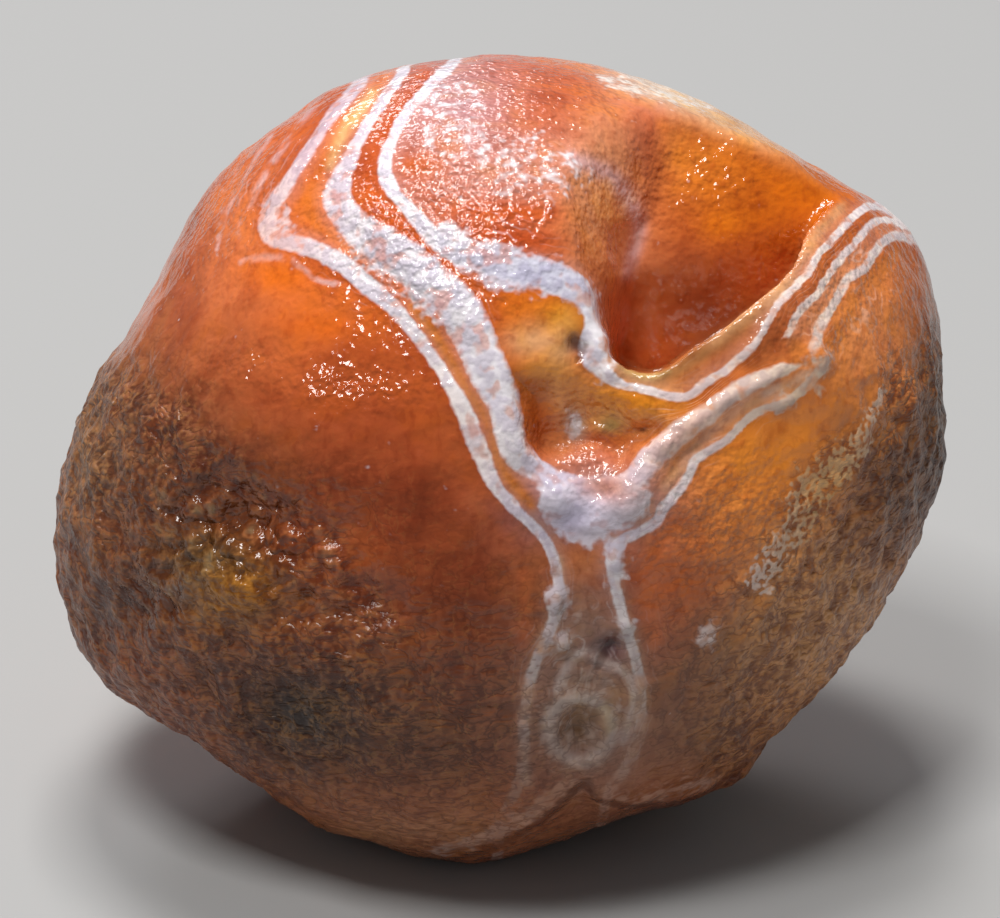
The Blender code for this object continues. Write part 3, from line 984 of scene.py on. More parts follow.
    ribbons: tuple[Ribbon, ...] = (
        Ribbon(path((196, 210, 5), (176, 262, 6), (160, 320, 7), (140, 370, 7), (112, 424, 7)),
               (150, 78, 44), 0.4),
        Ribbon(path((214, 230, 4), (196, 286, 5), (184, 340, 6), (170, 390, 7), (150, 440, 7)),
               (166, 84, 48), 0.4),
        Ribbon(path((170, 300, 4), (150, 350, 5), (122, 396, 6), (96, 440, 7)), (190, 116, 72), 0.25),
        Ribbon(path((612, 362, 9), (640, 378, 9), (668, 374, 9), (700, 354, 9), (730, 332, 9), (760, 308, 9),
                    (790, 282, 7)), (176, 122, 72), 0.8),
        Ribbon(path((425, 75, 9), (392, 120, 9), (370, 165, 10), (376, 200, 10), (408, 236, 9),
                    (450, 266, 8)), (206, 90, 30), 0.85),
        Ribbon(path((386, 75, 9), (345, 130, 11), (318, 175, 13), (312, 215, 13), (340, 240, 9),
                    (380, 268, 6)), (222, 116, 40), 0.85),
        Ribbon(path((372, 92, 5), (356, 116, 6), (340, 140, 6), (330, 166, 5)), (244, 200, 136), 0.7),
        Ribbon(path((616, 346, 3), (621, 363, 4), (636, 373, 4), (653, 376, 4), (668, 371, 3)),
               (196, 160, 104), 0.8),
        Ribbon(path((412, 306, 5), (434, 334, 7), (451, 362, 7), (463, 384, 7), (476, 404, 6), (488, 426, 5),
                    (498, 460, 6), (512, 484, 8), (530, 505, 7)), (204, 112, 14), 0.95),
        # Painted sheen: this violet-white stroke along the boss's right shoulder stands for the sky's
        # reflection on its wet edge
        Ribbon(path((572, 158, 8), (606, 172, 9), (626, 196, 9), (638, 224, 8), (634, 250, 7), (626, 276, 6)),
               (222, 176, 178), 0.75),
        Ribbon(path((712, 342, 6), (738, 320, 7), (768, 296, 8), (798, 262, 8), (818, 232, 7), (842, 206, 5)),
               (226, 164, 114), 0.8),
        Ribbon(path((580, 697, 7), (603, 706, 6), (612, 728, 7), (603, 750, 8), (580, 760, 7), (557, 750, 6),
                    (548, 728, 7), (557, 706, 7), closed=True), (192, 172, 166), 0.8),
        Ribbon(path((556, 690, 4), (566, 668, 5), (584, 652, 5), (604, 664, 5), (628, 676, 5), (634, 700, 5),
                    (624, 740, 6)), (196, 172, 166), 0.8),
        Ribbon(path((558, 560, 5), (558, 604, 6), (540, 650, 6), (528, 690, 6), (524, 740, 6), (526, 780, 6)),
               (196, 158, 138), 0.75),
        Ribbon(path((616, 540, 6), (618, 590, 6), (630, 630, 6), (641, 680, 6), (640, 730, 6), (620, 776, 5)),
               (196, 158, 138), 0.75),
        Ribbon(path((868, 224, 6), (834, 256, 6), (812, 292, 6), (784, 330, 6), (748, 366, 6)),
               (186, 96, 44), 0.7),
        Ribbon(path((900, 252, 7), (866, 284, 7), (842, 322, 7), (820, 348, 6)), (222, 130, 66), 0.7),
        Ribbon(path((806, 380, 6), (770, 394, 7), (740, 410, 7), (712, 432, 6), (690, 458, 6), (664, 486, 6)),
               (226, 164, 128), 0.8),
        Ribbon(path((470, 500, 8), (500, 540, 9), (524, 580, 9), (524, 640, 9)), (178, 92, 54), 0.6),
        Ribbon(path((680, 520, 8), (650, 560, 9), (646, 600, 9), (656, 640, 9)), (196, 100, 52), 0.7),
    )
    chalk_base: tuple[int, int, int] = (246, 242, 248)
    chalk_zones: tuple[Zone, ...] = (
        Zone(Patch((830, 290), (90, 90)), (255, 238, 230)),
        Zone(Patch((720, 400), (90, 50), -25), (250, 230, 222)),
        Zone(Patch((465, 420), (30, 90), -28), (242, 228, 222)),
        Zone(Patch((400, 255), (60, 40), 30), (226, 220, 226)),
        Zone(Patch((490, 380), (30, 60), -28), (242, 238, 244)),
        Zone(Patch((310, 130), (40, 70), 30), (226, 196, 204)),
        Zone(Patch((590, 505), (60, 44)), (226, 222, 242)),
        Zone(Patch((606, 486), (24, 13), 14), (212, 140, 116), 0.95),
        Zone(Patch((570, 520), (16, 12), -30), (196, 192, 224), 0.8),
        Zone(Patch((684, 438), (44, 16), -38), (232, 186, 164), 0.8),
        Zone(Patch((682, 490), (60, 16), -50), (252, 246, 248), 0.9),
        Zone(Patch((540, 272), (60, 26)), (216, 214, 232)),
        Zone(Patch((585, 710), (80, 90)), (196, 178, 168)),
        Zone(Patch((560, 800), (150, 60)), (176, 132, 108)),
        Zone(Patch((265, 250), (40, 60)), (232, 196, 190)),
        Zone(Patch((500, 832), (110, 26)), (214, 164, 140), 0.8),
        Zone(Patch((660, 790), (80, 20)), (208, 150, 122), 0.8),
        Zone(Patch((830, 490), (70, 120)), (216, 178, 124)),
        Zone(Patch((660, 86), (80, 30)), (238, 226, 214)),
    )
    laminae: tuple[tuple[Patch, float], ...] = (
        (Patch((262, 180), (44, 80), 28), 0.5),
        (Patch((840, 290), (60, 80)), 0.6),
        (Patch((700, 420), (90, 50), -30), 0.6),
        (Patch((440, 250), (110, 90)), 0.6),
        (Patch((590, 680), (70, 120)), 0.7),
    )
    mottles: tuple[Mottle, ...] = (Mottle("broad", 3.4 * MM, 41, 3), Mottle("patchy", 1.5 * MM, 53, 3))
    # The far side's drawing is the same one, turned and moved more the farther back the skin lies
    back_turn: float = math.radians(-115)
    back_move: tuple[float, float] = (150.0, 120.0)
    back_reach: float = 15.0 * MM

    def drawn_places(self, skin: Skin) -> np.ndarray:
        """Finds where on the drawing each point of the skin reads its markings.

        The face reads its own pixel. Behind the outline the drawing turns about its middle and moves, by a
        share that eases from 0 at the outline to 1 a little way back.

        Args:
            skin: the stone's skin, of N points.

        Returns:
            N x 2 pixels of the drawing.
        """
        share = ease(-skin.dome / self.back_reach)
        middle = np.array(StoneForm.sight.face_centre)
        offset = skin.places - middle
        c, s = np.cos(self.back_turn * share), np.sin(self.back_turn * share)
        turned = np.column_stack([offset[:, 0] * c - offset[:, 1] * s, offset[:, 0] * s + offset[:, 1] * c])
        return middle + turned + share[:, None] * np.array(self.back_move)

    def banding(self, places: np.ndarray) -> tuple[np.ndarray, np.ndarray]:
        """Places each point across its nearest band, and in the agate's layers.

        Inside a band the first value is the signed distance to its middle over its half-width. Outside, it
        goes on from 1 by the distance to the band's edge over a fixed width, so it changes sign only at a
        band. The second value blends every band's own level and signed distance, each weighted by one over
        the distance cubed plus a floor, which keeps the weight finite on the band itself.

        Args:
            places: N x 2 pixels of the drawing.

        Returns:
            The place across the nearest band, 0 in its middle and 1 at its edge, and the layer in pixels.
        """
        closest, across = np.full(len(places), FAR), np.zeros(len(places))
        levels, weights = np.zeros(len(places)), np.zeros(len(places))
        for stripe in self.stripes:
            near = stripe.line.nearest(places)
            half = near.values[:, 0]
            edge = near.distance - half
            share = np.where(edge < 0, near.distance / half, 1 + edge / self.edge_width)
            across = np.where(edge < closest, share * near.side * stripe.positive.value, across)
            closest = np.minimum(closest, edge)
            weight = 1 / (near.distance**3 + self.level_floor)
            levels += weight * (stripe.level + near.distance * near.side * stripe.inner.value)
            weights += weight
        return np.clip(across, -self.stripe_limit, self.stripe_limit), levels / weights

    def thin(self, places: np.ndarray, lines: tuple[Path, ...]) -> np.ndarray:
        """Works out how near each place is to some thin lines.

        Args:
            places: N x 2 pixels of the drawing.
            lines: the lines, which carry their half-width in pixels.

        Returns:
            N distances to the nearest line, over its half-width there.
        """
        closest = np.full(len(places), self.stripe_limit)
        for line in lines:
            near = line.nearest(places)
            closest = np.minimum(closest, near.distance / near.values[:, 0])
        return closest

    def fringed(self, places: np.ndarray) -> np.ndarray:
        """How much of the crust's pale fringe each place has: exp(-d^2) across its half-width."""
        near = self.fringe.nearest(places)
        return np.exp(-((near.distance / near.values[:, 0]) ** 2))

    def cloud(self, places: np.ndarray) -> np.ndarray:
        """Works out how milky each place is: the most that any cloud gives it, easing across its edge.

        Args:
            places: N x 2 pixels of the drawing.

        Returns:
            N shares, 0 to 1.
        """
        most = np.zeros(len(places))
        for rim, strength in self.clouds:
            most = np.maximum(most, strength * ease(0.5 + rim.depth_in(places) / (2 * self.cloud_softness)))
        return most

    def crust(self, places: np.ndarray) -> np.ndarray:
        """Works out how much rough crust covers each place, easing across its edge.

        Args:
            places: N x 2 pixels of the drawing.

        Returns:
            N shares, 0 to 1, with 0.5 at the crust's edge.
        """
        most = np.zeros(len(places))
        for rim in self.crusts:
            most = np.maximum(most, ease(0.5 + rim.depth_in(places) / (2 * self.crust_softness)))
        return most

    def coloured(
        self, places: np.ndarray, base: tuple[int, int, int], zones: tuple[Zone, ...]
    ) -> np.ndarray:
        """Lays each zone over the base colour in turn.

        Args:
            places: N x 2 pixels of the drawing.
            base: the base's display colour.
            zones: the zones, of which a later one covers an earlier.

        Returns:
            N x 3 linear colours.
        """
        colour = np.tile(np.array(linear(*base)), (len(places), 1))
        for zone in zones:
            share = (zone.strength * zone.patch.at(places) ** self.zone_fullness)[:, None]
            colour += share * (np.array(linear(*zone.colour)) - colour)
        return colour

    def tinted(self, places: np.ndarray) -> np.ndarray:
        """Works out the chalcedony's colour: its zones, with the ribbons laid over them. Some of these are
        painted shade, painted light or painted sheen.

        Args:
            places: N x 2 pixels of the drawing.

        Returns:
            N x 3 linear colours.
        """
        colour = self.coloured(places, self.base, self.zones)
        for ribbon in self.ribbons:
            near = ribbon.line.nearest(places)
            share = ribbon.strength * np.exp(-((near.distance / near.values[:, 0]) ** 2))
            colour += share[:, None] * (np.array(linear(*ribbon.colour)) - colour)
        return colour

    def amount(self, places: np.ndarray, patches: tuple[tuple[Patch, float], ...]) -> np.ndarray:
        """Works out how much of a quality each place has: the most that any of the patches gives it.

        Args:
            places: N x 2 pixels of the drawing.
            patches: each patch with its strength.

        Returns:
            N amounts.
        """
        most = np.zeros(len(places))
        for patch, strength in patches:
            most = np.maximum(most, strength * patch.at(places))
        return most


class Value:
    """A number that varies over the surface: arithmetic on it adds Math nodes to its graph."""

    def __init__(self, graph: Graph, socket: bpy.types.NodeSocket) -> None:
        """Wraps an output socket."""
        self.graph = graph
        self.socket = socket

    def _math(self, operation: str, *terms: Value | float) -> Value:
        """The result of a Math node on the terms."""
        node = self.graph.node("ShaderNodeMath", {"operation": operation}, dict(enumerate(terms)))
        return Value(self.graph, node.outputs[0])

    def __add__(self, other: Value | float) -> Value:
        """self + other."""
        return self._math("ADD", self, other)

    __radd__ = __add__

    def __sub__(self, other: Value | float) -> Value:
        """self - other."""
        return self._math("SUBTRACT", self, other)

    def __rsub__(self, other: Value | float) -> Value:
        """other - self."""
        return self._math("SUBTRACT", other, self)

    def __mul__(self, other: Value | float) -> Value:
        """self * other."""
        return self._math("MULTIPLY", self, other)

    __rmul__ = __mul__

    def __abs__(self) -> Value:
        """The size of the value, without its sign."""
        return self._math("ABSOLUTE", self)

    def sine(self) -> Value:
        """The sine of the value in radians."""
        return self._math("SINE", self)

    def at_most(self, other: Value | float) -> Value:
        """The smaller of the two."""
        return self._math("MINIMUM", self, other)

    def at_least(self, other: Value | float) -> Value:
        """The larger of the two."""
        return self._math("MAXIMUM", self, other)

    def step(self, low: float, high: float) -> Value:
        """Eases from 0 to 1 between two values.

        Args:
            low: where the result is 0.
            high: where it is 1. It may lie below low, and the step then falls.

        Returns:
            A smooth step, held to 0 and 1 outside the two.
        """
        falls = low > high
        node = self.graph.node(
            "ShaderNodeMapRange",
            {"interpolation_type": "SMOOTHSTEP"},
            {
                "Value": self,
                "From Min": min(low, high),
                "From Max": max(low, high),
                "To Min": 1.0 if falls else 0.0,
                "To Max": 0.0 if falls else 1.0,
            },
        )
        return Value(self.graph, node.outputs[0])


class Graph:
    """A material's nodes, each added by one method."""

    # How much of a pattern's bend goes along the third axis
    third_bend: float = 0.8

    def __init__(self, name: str) -> None:
        """Starts a material with a Principled shader.

        Args:
            name: the material's name.
        """
        self.material = bpy.data.materials.new(name)
        self.material.use_nodes = True
        self.tree = self.material.node_tree
        self.shader = self.tree.nodes["Principled BSDF"]

    def node(
        self,
        kind: str,
        settings: dict[str, object] | None = None,
        inputs: dict[str | int, object] | None = None,
    ) -> bpy.types.Node:
        """Adds a node.

        Args:
            kind: the node's type.
            settings: its own properties, which are set first.
            inputs: by socket name or number, a value, a Value or an output socket.

        Returns:
            The node.
        """
        node = self.tree.nodes.new(kind)
        for name, value in (settings or {}).items():
            setattr(node, name, value)
        for name, value in (inputs or {}).items():
            self.feed(node.inputs[name], value)
        return node

    def feed(self, socket: bpy.types.NodeSocket, value: object) -> None:
        """Links a Value or socket into a socket, or sets the socket's own value.

        Args:
            socket: the socket to be fed.
            value: what feeds it: a Value, an output socket or a plain value.
        """
        source = value.socket if isinstance(value, Value) else value
        if isinstance(source, bpy.types.NodeSocket):
            self.tree.links.new(source, socket)
        else:
            socket.default_value = source

    def number(self, name: str) -> Value:
        """A number kept on the mesh's points."""
        node = self.node("ShaderNodeAttribute", {"attribute_name": name})
        return Value(self, node.outputs["Fac"])

    def colour(self, name: str) -> bpy.types.NodeSocket:
        """A colour kept on the mesh's points."""
        return self.node("ShaderNodeAttribute", {"attribute_name": name}).outputs["Color"]

    def place(
        self, stretch: tuple[float, float, float], shift: float, bend: Value | float
    ) -> bpy.types.NodeSocket:
        """Squeezes the point's own place along each axis, then moves and bends it.

        Args:
            stretch: how much longer the pattern is along each axis.
            shift: moves the whole pattern, in millimetres.
            bend: moves it from place to place, in millimetres.

        Returns:
            The place in millimetres.
        """
        metres = self.node("ShaderNodeTexCoord").outputs["Object"]
        scale = tuple(1 / (MM * part) for part in stretch)
        parts = {0: bend + shift, 1: shift - bend, 2: bend * self.third_bend + shift}
        move = self.node("ShaderNodeCombineXYZ", inputs=parts)
        terms = {0: metres, 1: scale, 2: move.outputs[0]}
        return self.node("ShaderNodeVectorMath", {"operation": "MULTIPLY_ADD"}, terms).outputs[0]

    def noise(
        self,
        width: float,
        detail: float,
        shift: float,
        stretch: tuple[float, float, float] = (1.0, 1.0, 1.0),
        bend: Value | float = 0.0,
    ) -> Value:
        """Cloudy noise of about -0.5 to 0.5.

        Args:
            width: the width of its lumps in millimetres.
            detail: how many finer layers it has.
            shift: moves the pattern, so that two of one width differ.
            stretch: how much longer the lumps are along each axis.
            bend: moves the pattern by its own value in millimetres from place to place.

        Returns:
            The noise.
        """
        inputs = {"Vector": self.place(stretch, shift, bend), "Scale": 1 / width, "Detail": detail}
        return Value(self, self.node("ShaderNodeTexNoise", inputs=inputs).outputs[0]) - 0.5

    def cells(self, width: float, shift: float, bend: Value) -> Value:
        """Scattered lumps of a width in millimetres: the distance from each one's middle, over the width."""
        inputs = {"Vector": self.place((1.0, 1.0, 1.0), shift, bend), "Scale": 1 / width}
        return Value(self, self.node("ShaderNodeTexVoronoi", {"feature": "F1"}, inputs).outputs["Distance"])

    def mix(
        self, share: Value | float, first: object, second: object, how: Blend = Blend.COVER
    ) -> bpy.types.NodeSocket:
        """A blend of two colours, by the share of the second."""
        settings = {"data_type": "RGBA", "blend_type": how.value, "clamp_factor": True}
        return self.node("ShaderNodeMix", settings, {0: share, 6: first, 7: second}).outputs[2]


@dataclass(frozen=True)
class Grains:
    """The patterns that the whole finish shares.

    The clouds, grains and streaks are about -0.5 to 0.5. Creases are 0 along their lines. Lumps are 0 in each
    lump's middle and about 0.6 where two meet.
    """

    broad: Value
    patchy: Value
    coarse: Value
    fine: Value
    streaks: Value
    creases: Value
    lumps: Value


@dataclass(frozen=True)
class Shares:
    """How strongly each colour of the finish covers what lies under it, 0 to 1."""

    gilding: float = 0.56
    clouding: float = 0.52
    lighting: float = 0.42
    streaking: float = 0.34
    speckling: float = 0.26
    layer_chalk: float = 0.50
    layer_pale: float = 0.60
    layer_deep: float = 0.50
    band: float = 0.96
    band_stain: float = 0.48
    band_glow: float = 0.10
    band_seam: float = 0.30
    hair: float = 0.34
    milk: float = 0.88
    crust: float = 0.88
    wrinkle: float = 0.62
    crust_light: float = 0.14
    ochre: float = 0.5
    ochre_stain: float = 0.40
    dome: float = 0.72
    gap: float = 0.70
    crease_shade: float = 0.74
    wisp: float = 0.50
    fringe: float = 0.64
    crack: float = 0.7


@dataclass(frozen=True)
class BumpHeights:
    """The height of each part of the bump in millimetres, for one unit of its pattern.

    The wet parts are added where the skin is glazed and the crust parts where it is crusted. The folds'
    pattern is cut off above fold_top.
    """

    chatter: float = 0.012
    wet_chatter: float = 0.24
    crust_chatter: float = 0.05
    waver: float = 0.05
    wet_waver: float = 0.18
    crust_waver: float = 0.14
    lump: float = -0.66
    fold: float = 0.44
    fold_top: float = 0.22
    crack: float = -0.08


@dataclass(frozen=True)
class AgateFinish:
    """Wet banded chalcedony with a rough crust.

    The widths and bends of its patterns are millimetres. The pitches of its layers, and what bends them, are
    pixels of the drawing.
    """

    shares: Shares = Shares()
    heights: BumpHeights = BumpHeights()
    roughness: float = 0.10
    patchy_roughness: float = 0.06
    crust_dulling: float = 0.26
    refraction: float = 1.46
    coarse_width: float = 0.80
    fine_width: float = 0.37
    streak_width: float = 0.95
    streak_stretch: tuple[float, float, float] = (0.6, 1.7, 1.7)
    crease_stretch: tuple[float, float, float] = (1.5, 1.3, 0.75)
    crease_waver: float = 0.35
    lump_width: float = 1.2
    lump_bend: float = 0.8
    broad_bend: float = 2.4
    patchy_bend: float = 1.2
    layer_pitch: float = 10.0
    fine_pitch: float = 4.5
    layer_bend: float = 34.0
    layer_waver: float = 6.0
    deep: tuple[float, float, float, float] = (0.62, 0.42, 0.32, 1)
    bright: tuple[float, float, float, float] = (1.15, 1.20, 1.14, 1)
    golden: tuple[float, float, float, float] = (1.12, 1.10, 0.62, 1)
    dark: tuple[float, float, float, float] = (0.34, 0.27, 0.24, 1)
    lilac: tuple[float, float, float, float] = (0.78, 0.76, 0.82, 1)
    ochre: tuple[int, int, int] = (158, 112, 58)
    pebble: tuple[int, int, int] = (138, 116, 84)

    def build(self, name: str) -> bpy.types.Material:
        """Makes the material.

        Args:
            name: its name.

        Returns:
            The material, which reads the numbers and colours kept on the skin's points.
        """
        graph = Graph(name)
        grains = self.grains(graph)
        lines = self.layer_lines(graph, grains)
        crusted = (graph.number("crust") + grains.broad * 0.9 + grains.patchy * 0.8).step(0.26, 0.86)
        folded = crusted.at_least(graph.number("wrinkle"))
        colour = self.body_colour(graph, grains, lines)
        colour = self.with_bands(graph, grains, colour)
        colour = self.with_crust(graph, grains, colour, crusted, folded)
        graph.feed(graph.shader.inputs["Base Color"], colour)
        dull = folded * (1 - graph.number("glaze").at_least(graph.number("lumpy"))) * self.crust_dulling
        uneven = grains.patchy * self.patchy_roughness + self.roughness
        graph.feed(graph.shader.inputs["Roughness"], uneven + dull)
        graph.feed(graph.shader.inputs["Normal"], self.surface(graph, grains, crusted, folded))
        graph.feed(graph.shader.inputs["IOR"], self.refraction)
        return graph.material

    def grains(self, graph: Graph) -> Grains:
        """Makes the shared patterns. The two widest are kept on the skin's points.

        Args:
            graph: the material's graph.

        Returns:
            The patterns.
        """
        broad, patchy = graph.number("broad"), graph.number("patchy")
        bend = broad * self.broad_bend + patchy * self.patchy_bend
        coarse = graph.noise(self.coarse_width, detail=1, shift=3)
        folded = graph.noise(self.streak_width, 2.4, 13, self.crease_stretch, bend)
        return Grains(
            broad=broad,
            patchy=patchy,
            coarse=coarse,
            fine=graph.noise(self.fine_width, detail=0.6, shift=9),
            streaks=graph.noise(self.streak_width, 2, 23, self.streak_stretch, bend),
            creases=abs(folded + coarse * self.crease_waver),
            lumps=graph.cells(self.lump_width, 31, bend * self.lump_bend),
        )

    def layer_lines(self, graph: Graph, grains: Grains) -> Value:
        """Draws the fine layers: a wave of the layer number, much bent by noise, with a finer one on it.

        Args:
            graph: the material's graph.
            grains: the shared patterns.

        Returns:
            The layers, from -1 where they are deep to 1 where they are pale.
        """
        level = graph.number("layer") + grains.broad * self.layer_bend + grains.coarse * self.layer_waver
        coarse = (level * (math.tau / self.layer_pitch)).sine()
        fine = (level * (math.tau / self.fine_pitch)).sine()
        return (coarse * 0.6 + fine * 0.4) * graph.number("laminae") * grains.patchy.step(-0.14, 0.06)

    def body_colour(self, graph: Graph, grains: Grains, lines: Value) -> bpy.types.NodeSocket:
        """Works out the chalcedony's own colour: the soft colours, clouded, streaked and layered.

        Args:
            graph: the material's graph.
            grains: the shared patterns.
            lines: the fine layers, -1 to 1.

        Returns:
            The colour.
        """
        tint = graph.colour("tint")
        deep = graph.mix(1.0, tint, self.deep, Blend.MULTIPLY)
        bright = graph.mix(1.0, tint, self.bright, Blend.MULTIPLY)
        golden = graph.mix(1.0, tint, self.golden, Blend.MULTIPLY)
        gilding = (grains.patchy * -0.8 - grains.broad * 0.9).step(-0.02, 0.24)
        clouding = (grains.broad + grains.patchy * 0.5).step(-0.02, 0.24)
        lighting = (grains.streaks + grains.patchy * 0.9).step(0.02, 0.26)
        streaking = (grains.coarse * 0.5 - grains.streaks).step(0.05, 0.26)
        speckling = (grains.fine * 0.5 + grains.coarse).step(0.08, 0.20)
        colour = graph.mix(gilding * self.shares.gilding, tint, golden)
        colour = graph.mix(clouding * self.shares.clouding, colour, deep)
        colour = graph.mix(lighting * self.shares.lighting, colour, bright)
        colour = graph.mix(streaking * self.shares.streaking, colour, deep)
        colour = graph.mix(speckling * self.shares.speckling, colour, deep)
        pale = graph.mix(self.shares.layer_chalk, bright, graph.colour("chalk"))
        colour = graph.mix(lines.step(0.05, 0.60) * self.shares.layer_pale, colour, pale)
        return graph.mix((lines * -1).step(0.05, 0.60) * self.shares.layer_deep, colour, deep)

    def with_bands(self, graph: Graph, grains: Grains, colour: bpy.types.NodeSocket) -> bpy.types.NodeSocket:
        """Lays the pale bands, thin lines and milky clouds over the colour.

        A band is white along its edges and greyer lilac within, stained by the stone round it in patches. It
        glows pale on its positive side and lies in a darker seam on the other.

        Args:
            graph: the material's graph.
            grains: the shared patterns.
            colour: the colour under the bands.

        Returns:
            The colour with the bands on it.
        """
        chalk, tint = graph.colour("chalk"), graph.colour("tint")
        deep = graph.mix(1.0, tint, self.deep, Blend.MULTIPLY)
        lilac = graph.mix(1.0, chalk, self.lilac, Blend.MULTIPLY)
        stripe = graph.number("stripe")
        ragged = grains.coarse * 1.2 + grains.fine * 0.5
        near = stripe + ragged * 0.50 + grains.patchy * 0.35
        across = abs(near)
        marble = grains.coarse * 1.8 + grains.patchy * 1.2 + grains.fine * 0.5
        inner = (marble - across * 0.24).step(-0.40, 0.10)
        stain = (grains.patchy - grains.coarse * 0.8).step(0.02, 0.22) * self.shares.band_stain
        marbled = graph.mix(stain, graph.mix(inner, chalk, lilac), tint)
        lost = (graph.number("broken") + grains.patchy * 1.7).step(0.35, 0.75)
        kept = 1 - lost
        glow = near.step(3.0, 0.9) * near.step(0.0, 0.9) * kept
        colour = graph.mix(glow * self.shares.band_glow, colour, chalk)
        beyond = near * -1
        seam = beyond.step(3.2, 0.9) * beyond.step(0.0, 0.9) * kept
        colour = graph.mix(seam * self.shares.band_seam, colour, deep)
        colour = graph.mix(across.step(1.25, 0.72) * kept * self.shares.band, colour, marbled)
        thin = (graph.number("hair") + ragged * 0.9).step(1.7, 0.2) * grains.patchy.step(-0.16, 0.08)
        colour = graph.mix(thin * self.shares.hair, colour, chalk)
        milky = graph.number("cloud") + grains.coarse * 1.1 - grains.fine * 0.6 + grains.patchy * 0.4
        return graph.mix(milky.step(0.30, 0.80) * self.shares.milk, colour, marbled)

    def with_crust(
        self, graph: Graph, grains: Grains, colour: bpy.types.NodeSocket, crusted: Value, folded: Value
    ) -> bpy.types.NodeSocket:
        """Lays the crust over the colour: mottled brown, ochre stains, lumps, painted shade in their gaps and
        creases, and a pale fringe.

        Args:
            graph: the material's graph.
            grains: the shared patterns.
            colour: the colour under the crust.
            crusted: how much crust there is, 0 to 1.
            folded: how wrinkled the skin is, 0 to 1.

        Returns:
            The colour with the crust on it.
        """
        tint, shares = graph.colour("tint"), self.shares
        pebble, ochre = (*linear(*self.pebble), 1), (*linear(*self.ochre), 1)
        dark = graph.mix(1.0, tint, self.dark, Blend.MULTIPLY)
        light = graph.mix(shares.crust_light, graph.mix(1.0, tint, self.bright, Blend.MULTIPLY), pebble)
        grain = grains.patchy * 0.9 + grains.coarse * 0.8 + grains.fine * 0.70 + grains.streaks * 0.6
        tan = graph.mix(shares.ochre, light, ochre)
        mottled = graph.mix(grain.step(-0.26, 0.24), dark, light)
        stained = graph.mix((grains.broad * -1).step(0.04, 0.24) * shares.ochre_stain, mottled, tan)
        crusty = graph.mix(crusted.at_least(folded * shares.wrinkle) * shares.crust, colour, stained)
        lumpy = graph.number("lumpy") * crusted
        domes = grains.lumps.step(0.50, 0.12) * lumpy * (grains.patchy + grains.fine * 0.4).step(-0.10, 0.10)
        crusty = graph.mix(domes * shares.dome, crusty, pebble)
        # Partly painted shade: darker in the low gaps where the lumps meet, over the crust's own dark
        crusty = graph.mix(grains.lumps.step(0.36, 0.60) * lumpy * shares.gap, crusty, dark)
        # Partly painted shade: darker along the creases, the low lines of the fold bump, over the crust's own
        # dark
        shaded_creases = grains.creases.step(0.060, 0.01) * folded * (1 - lumpy * 0.8)
        crusty = graph.mix(shaded_creases * shares.crease_shade, crusty, dark)
        squiggle = abs(grains.coarse + grains.fine * 0.5).step(0.060, 0.015)
        wisps = squiggle * grains.streaks.step(-0.06, 0.12) * folded * (1 - lumpy)
        specks = (grains.fine * 1.3 + grains.coarse * 0.8).step(0.12, 0.30) * crusted * (1 - lumpy)
        crusty = graph.mix(wisps.at_least(specks) * shares.wisp, crusty, tan)
        feathered = (graph.number("fringe") + grains.coarse * 1.3 + grains.fine * 0.9).step(0.50, 0.78)
        speckles = (grains.fine * 1.4 + grains.patchy * 0.5).step(-0.20, 0.12)
        crusty = graph.mix(feathered * speckles * shares.fringe, crusty, graph.colour("chalk"))
        cracked = (graph.number("crack") + grains.coarse * 1.2 + grains.fine).step(1.2, 0.3)
        return graph.mix(cracked * shares.crack, crusty, dark)

    def surface(self, graph: Graph, grains: Grains, crusted: Value, folded: Value) -> bpy.types.NodeSocket:
        """Works out the skin's fine relief: chatter marks, unevenness, the crust's lumps and folds, cracks.

        Args:
            graph: the material's graph.
            grains: the shared patterns.
            crusted: how much crust there is, 0 to 1.
            folded: how wrinkled the skin is, 0 to 1.

        Returns:
            The bumped normal.
        """
        glaze, high = graph.number("glaze"), self.heights
        chatter = grains.fine * (glaze * high.wet_chatter + high.chatter + crusted * high.crust_chatter)
        uneven = grains.coarse * (glaze * high.wet_waver + high.waver + crusted * high.crust_waver)
        lumpy = crusted * graph.number("lumpy")
        lumps = grains.lumps * grains.lumps * lumpy * high.lump
        folds = grains.creases.at_most(high.fold_top) * folded * folded * (1 - lumpy * 0.8) * high.fold
        crack = (graph.number("crack") + grains.coarse * 1.2).step(1.5, 0.2) * high.crack
        height = chatter + uneven + lumps + folds + crack
        bump = graph.node("ShaderNodeBump", inputs={"Strength": 1.0, "Distance": MM, "Height": height})
        return bump.outputs[0]


